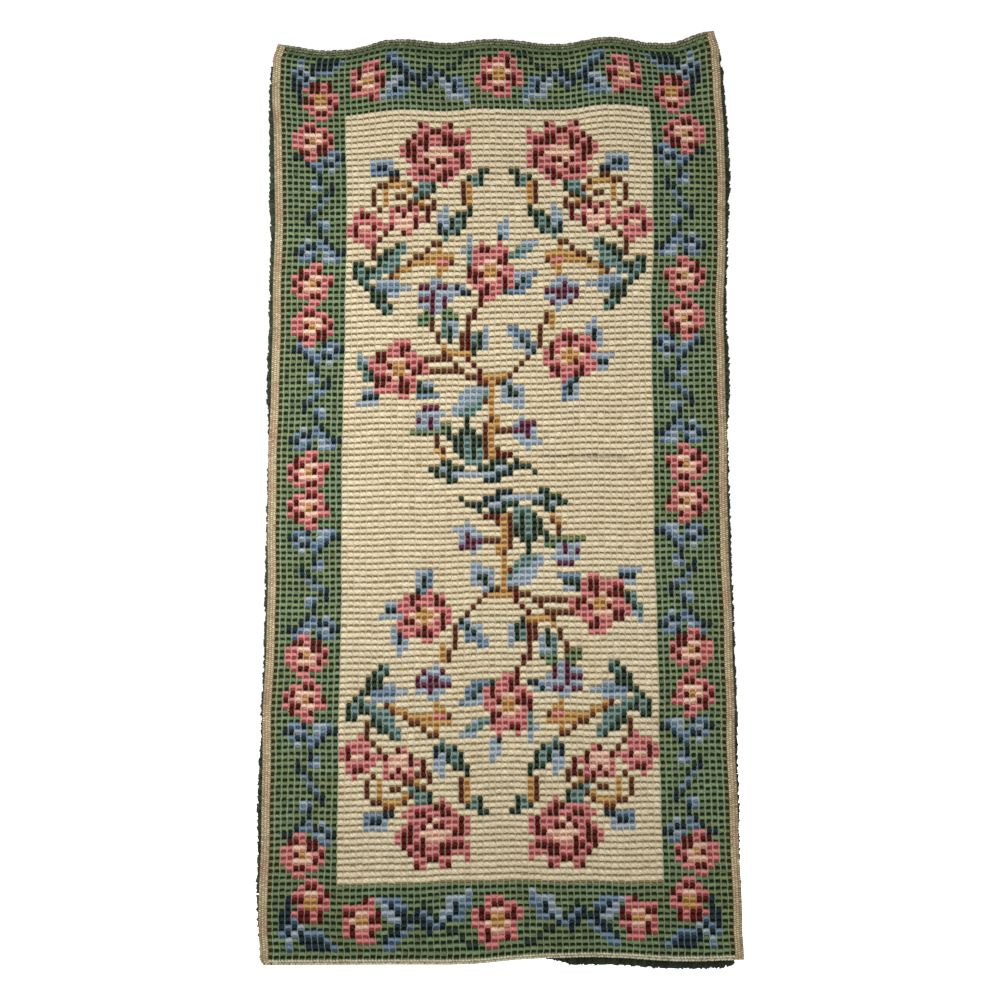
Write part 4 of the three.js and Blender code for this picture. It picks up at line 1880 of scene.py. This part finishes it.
@dataclass
class Studio:
    """A pale floor, soft light and the camera."""

    floor_drop: float = 0.55
    camera_place: tuple[float, float, float] = (0.0014, -1.3, -0.708)
    camera_pitch: float = 5.39
    lens: float = 38.44
    sky: float = 0.26
    backdrop: float = 1.05
    lamps: tuple[Lamp, ...] = (
        Lamp("key", (-0.32, -0.8, -0.43), (1.6, 0.4), 9.5),
        Lamp("back", (0.5, 2.4, 0.5), (2.2, 2.2), 19.0),
        Lamp("floor_wash", (0, 5.5, 2.5), (12.0, 8.0), 900.0, (0, 5.5, -2)),
    )

    def build(self) -> None:
        """Set up the floor, the world, the lamps and the camera."""
        self.floor()
        self.world()
        for lamp in self.lamps:
            self.light(lamp)
        self.camera()
        bpy.context.scene.view_settings.view_transform = "Standard"

    def floor(self) -> None:
        """A wide pale floor, well below the foot."""
        put_down_everything()
        height = float(CAD_BOX[0][2]) - self.floor_drop
        bpy.ops.mesh.primitive_plane_add(size=16, location=(0, 0, height))
        floor = bpy.context.object
        floor.name = "floor"
        paint = bpy.data.materials.new("white_floor_paint_rolled")
        paint.use_nodes = True
        sockets = paint.node_tree.nodes["Principled BSDF"].inputs
        # Matt white paint on a smooth floor, with no shine that would mirror the cloth.
        sockets["Base Color"].default_value = linear("#F7F7F5")
        sockets["Roughness"].default_value = 1.0
        sockets["Specular IOR Level"].default_value = 0.0
        floor.data.materials.append(paint)

    def world(self) -> None:
        """A white surround that lights the cloth softly."""
        world = bpy.data.worlds.new("studio")
        bpy.context.scene.world = world
        world.use_nodes = True
        tree = world.node_tree
        tree.nodes.clear()
        path = add_node(tree, "ShaderNodeLightPath", {}).outputs["Is Camera Ray"]
        white = linear("#FFFFFF")
        cast, seen = (
            add_node(tree, "ShaderNodeBackground", {"Color": white, "Strength": strength}).outputs[0]
            for strength in (self.sky, self.backdrop)
        )
        both = add_node(tree, "ShaderNodeMixShader", {0: path, 1: cast, 2: seen}).outputs[0]
        add_node(tree, "ShaderNodeOutputWorld", {"Surface": both})

    def light(self, lamp: Lamp) -> None:
        """Hang one lamp, which stays out of the picture."""
        data = bpy.data.lights.new(lamp.name, "AREA")
        data.shape = "RECTANGLE"
        data.size, data.size_y = lamp.size
        data.energy = lamp.power
        hung = bpy.data.objects.new(lamp.name, data)
        hung.location = lamp.place
        target = Vector(lamp.target) if lamp.target else (CAD_BOX[0] + CAD_BOX[1]) / 2
        hung.rotation_euler = (target - hung.location).to_track_quat("-Z", "Y").to_euler()
        hung.visible_camera = False
        bpy.context.scene.collection.objects.link(hung)

    def camera(self) -> None:
        """The camera, in front of the canvas side and tipped up a little."""
        data = bpy.data.cameras.new("camera")
        data.lens = self.lens
        data.clip_end = 100
        camera = bpy.data.objects.new("camera", data)
        camera.location = self.camera_place
        camera.rotation_euler = (math.radians(90 + self.camera_pitch), 0, 0)
        bpy.context.scene.collection.objects.link(camera)
        bpy.context.scene.camera = camera


def report(piece: bpy.types.Object) -> None:
    """Log a piece's name and how many triangles it has."""
    triangles = sum(len(face.vertices) - 2 for face in piece.data.polygons)
    LOG.info("%s: %d triangles", piece.name, triangles)


def main() -> None:
    """Build the hanging, then the studio."""
    logging.basicConfig(level=logging.INFO, format="%(message)s")
    cloth, chart = Cloth(), Chart()
    materials = {yarn: YARN_FINISHES[yarn].material() for yarn in Yarn}
    pieces = [CanvasSheet(cloth, chart).build()]
    pieces += KnotBacks(cloth, chart, materials).build()
    pieces += Pile(cloth, chart, materials).build()
    pieces += CanvasThreads(cloth, chart).build()
    pieces += Selvedges(cloth).build()
    pieces.append(LooseStrand(cloth, materials[Yarn.NAVY]).build())
    for piece in pieces:
        report(piece)
    Studio().build()


if __name__ == "__main__":
    main()
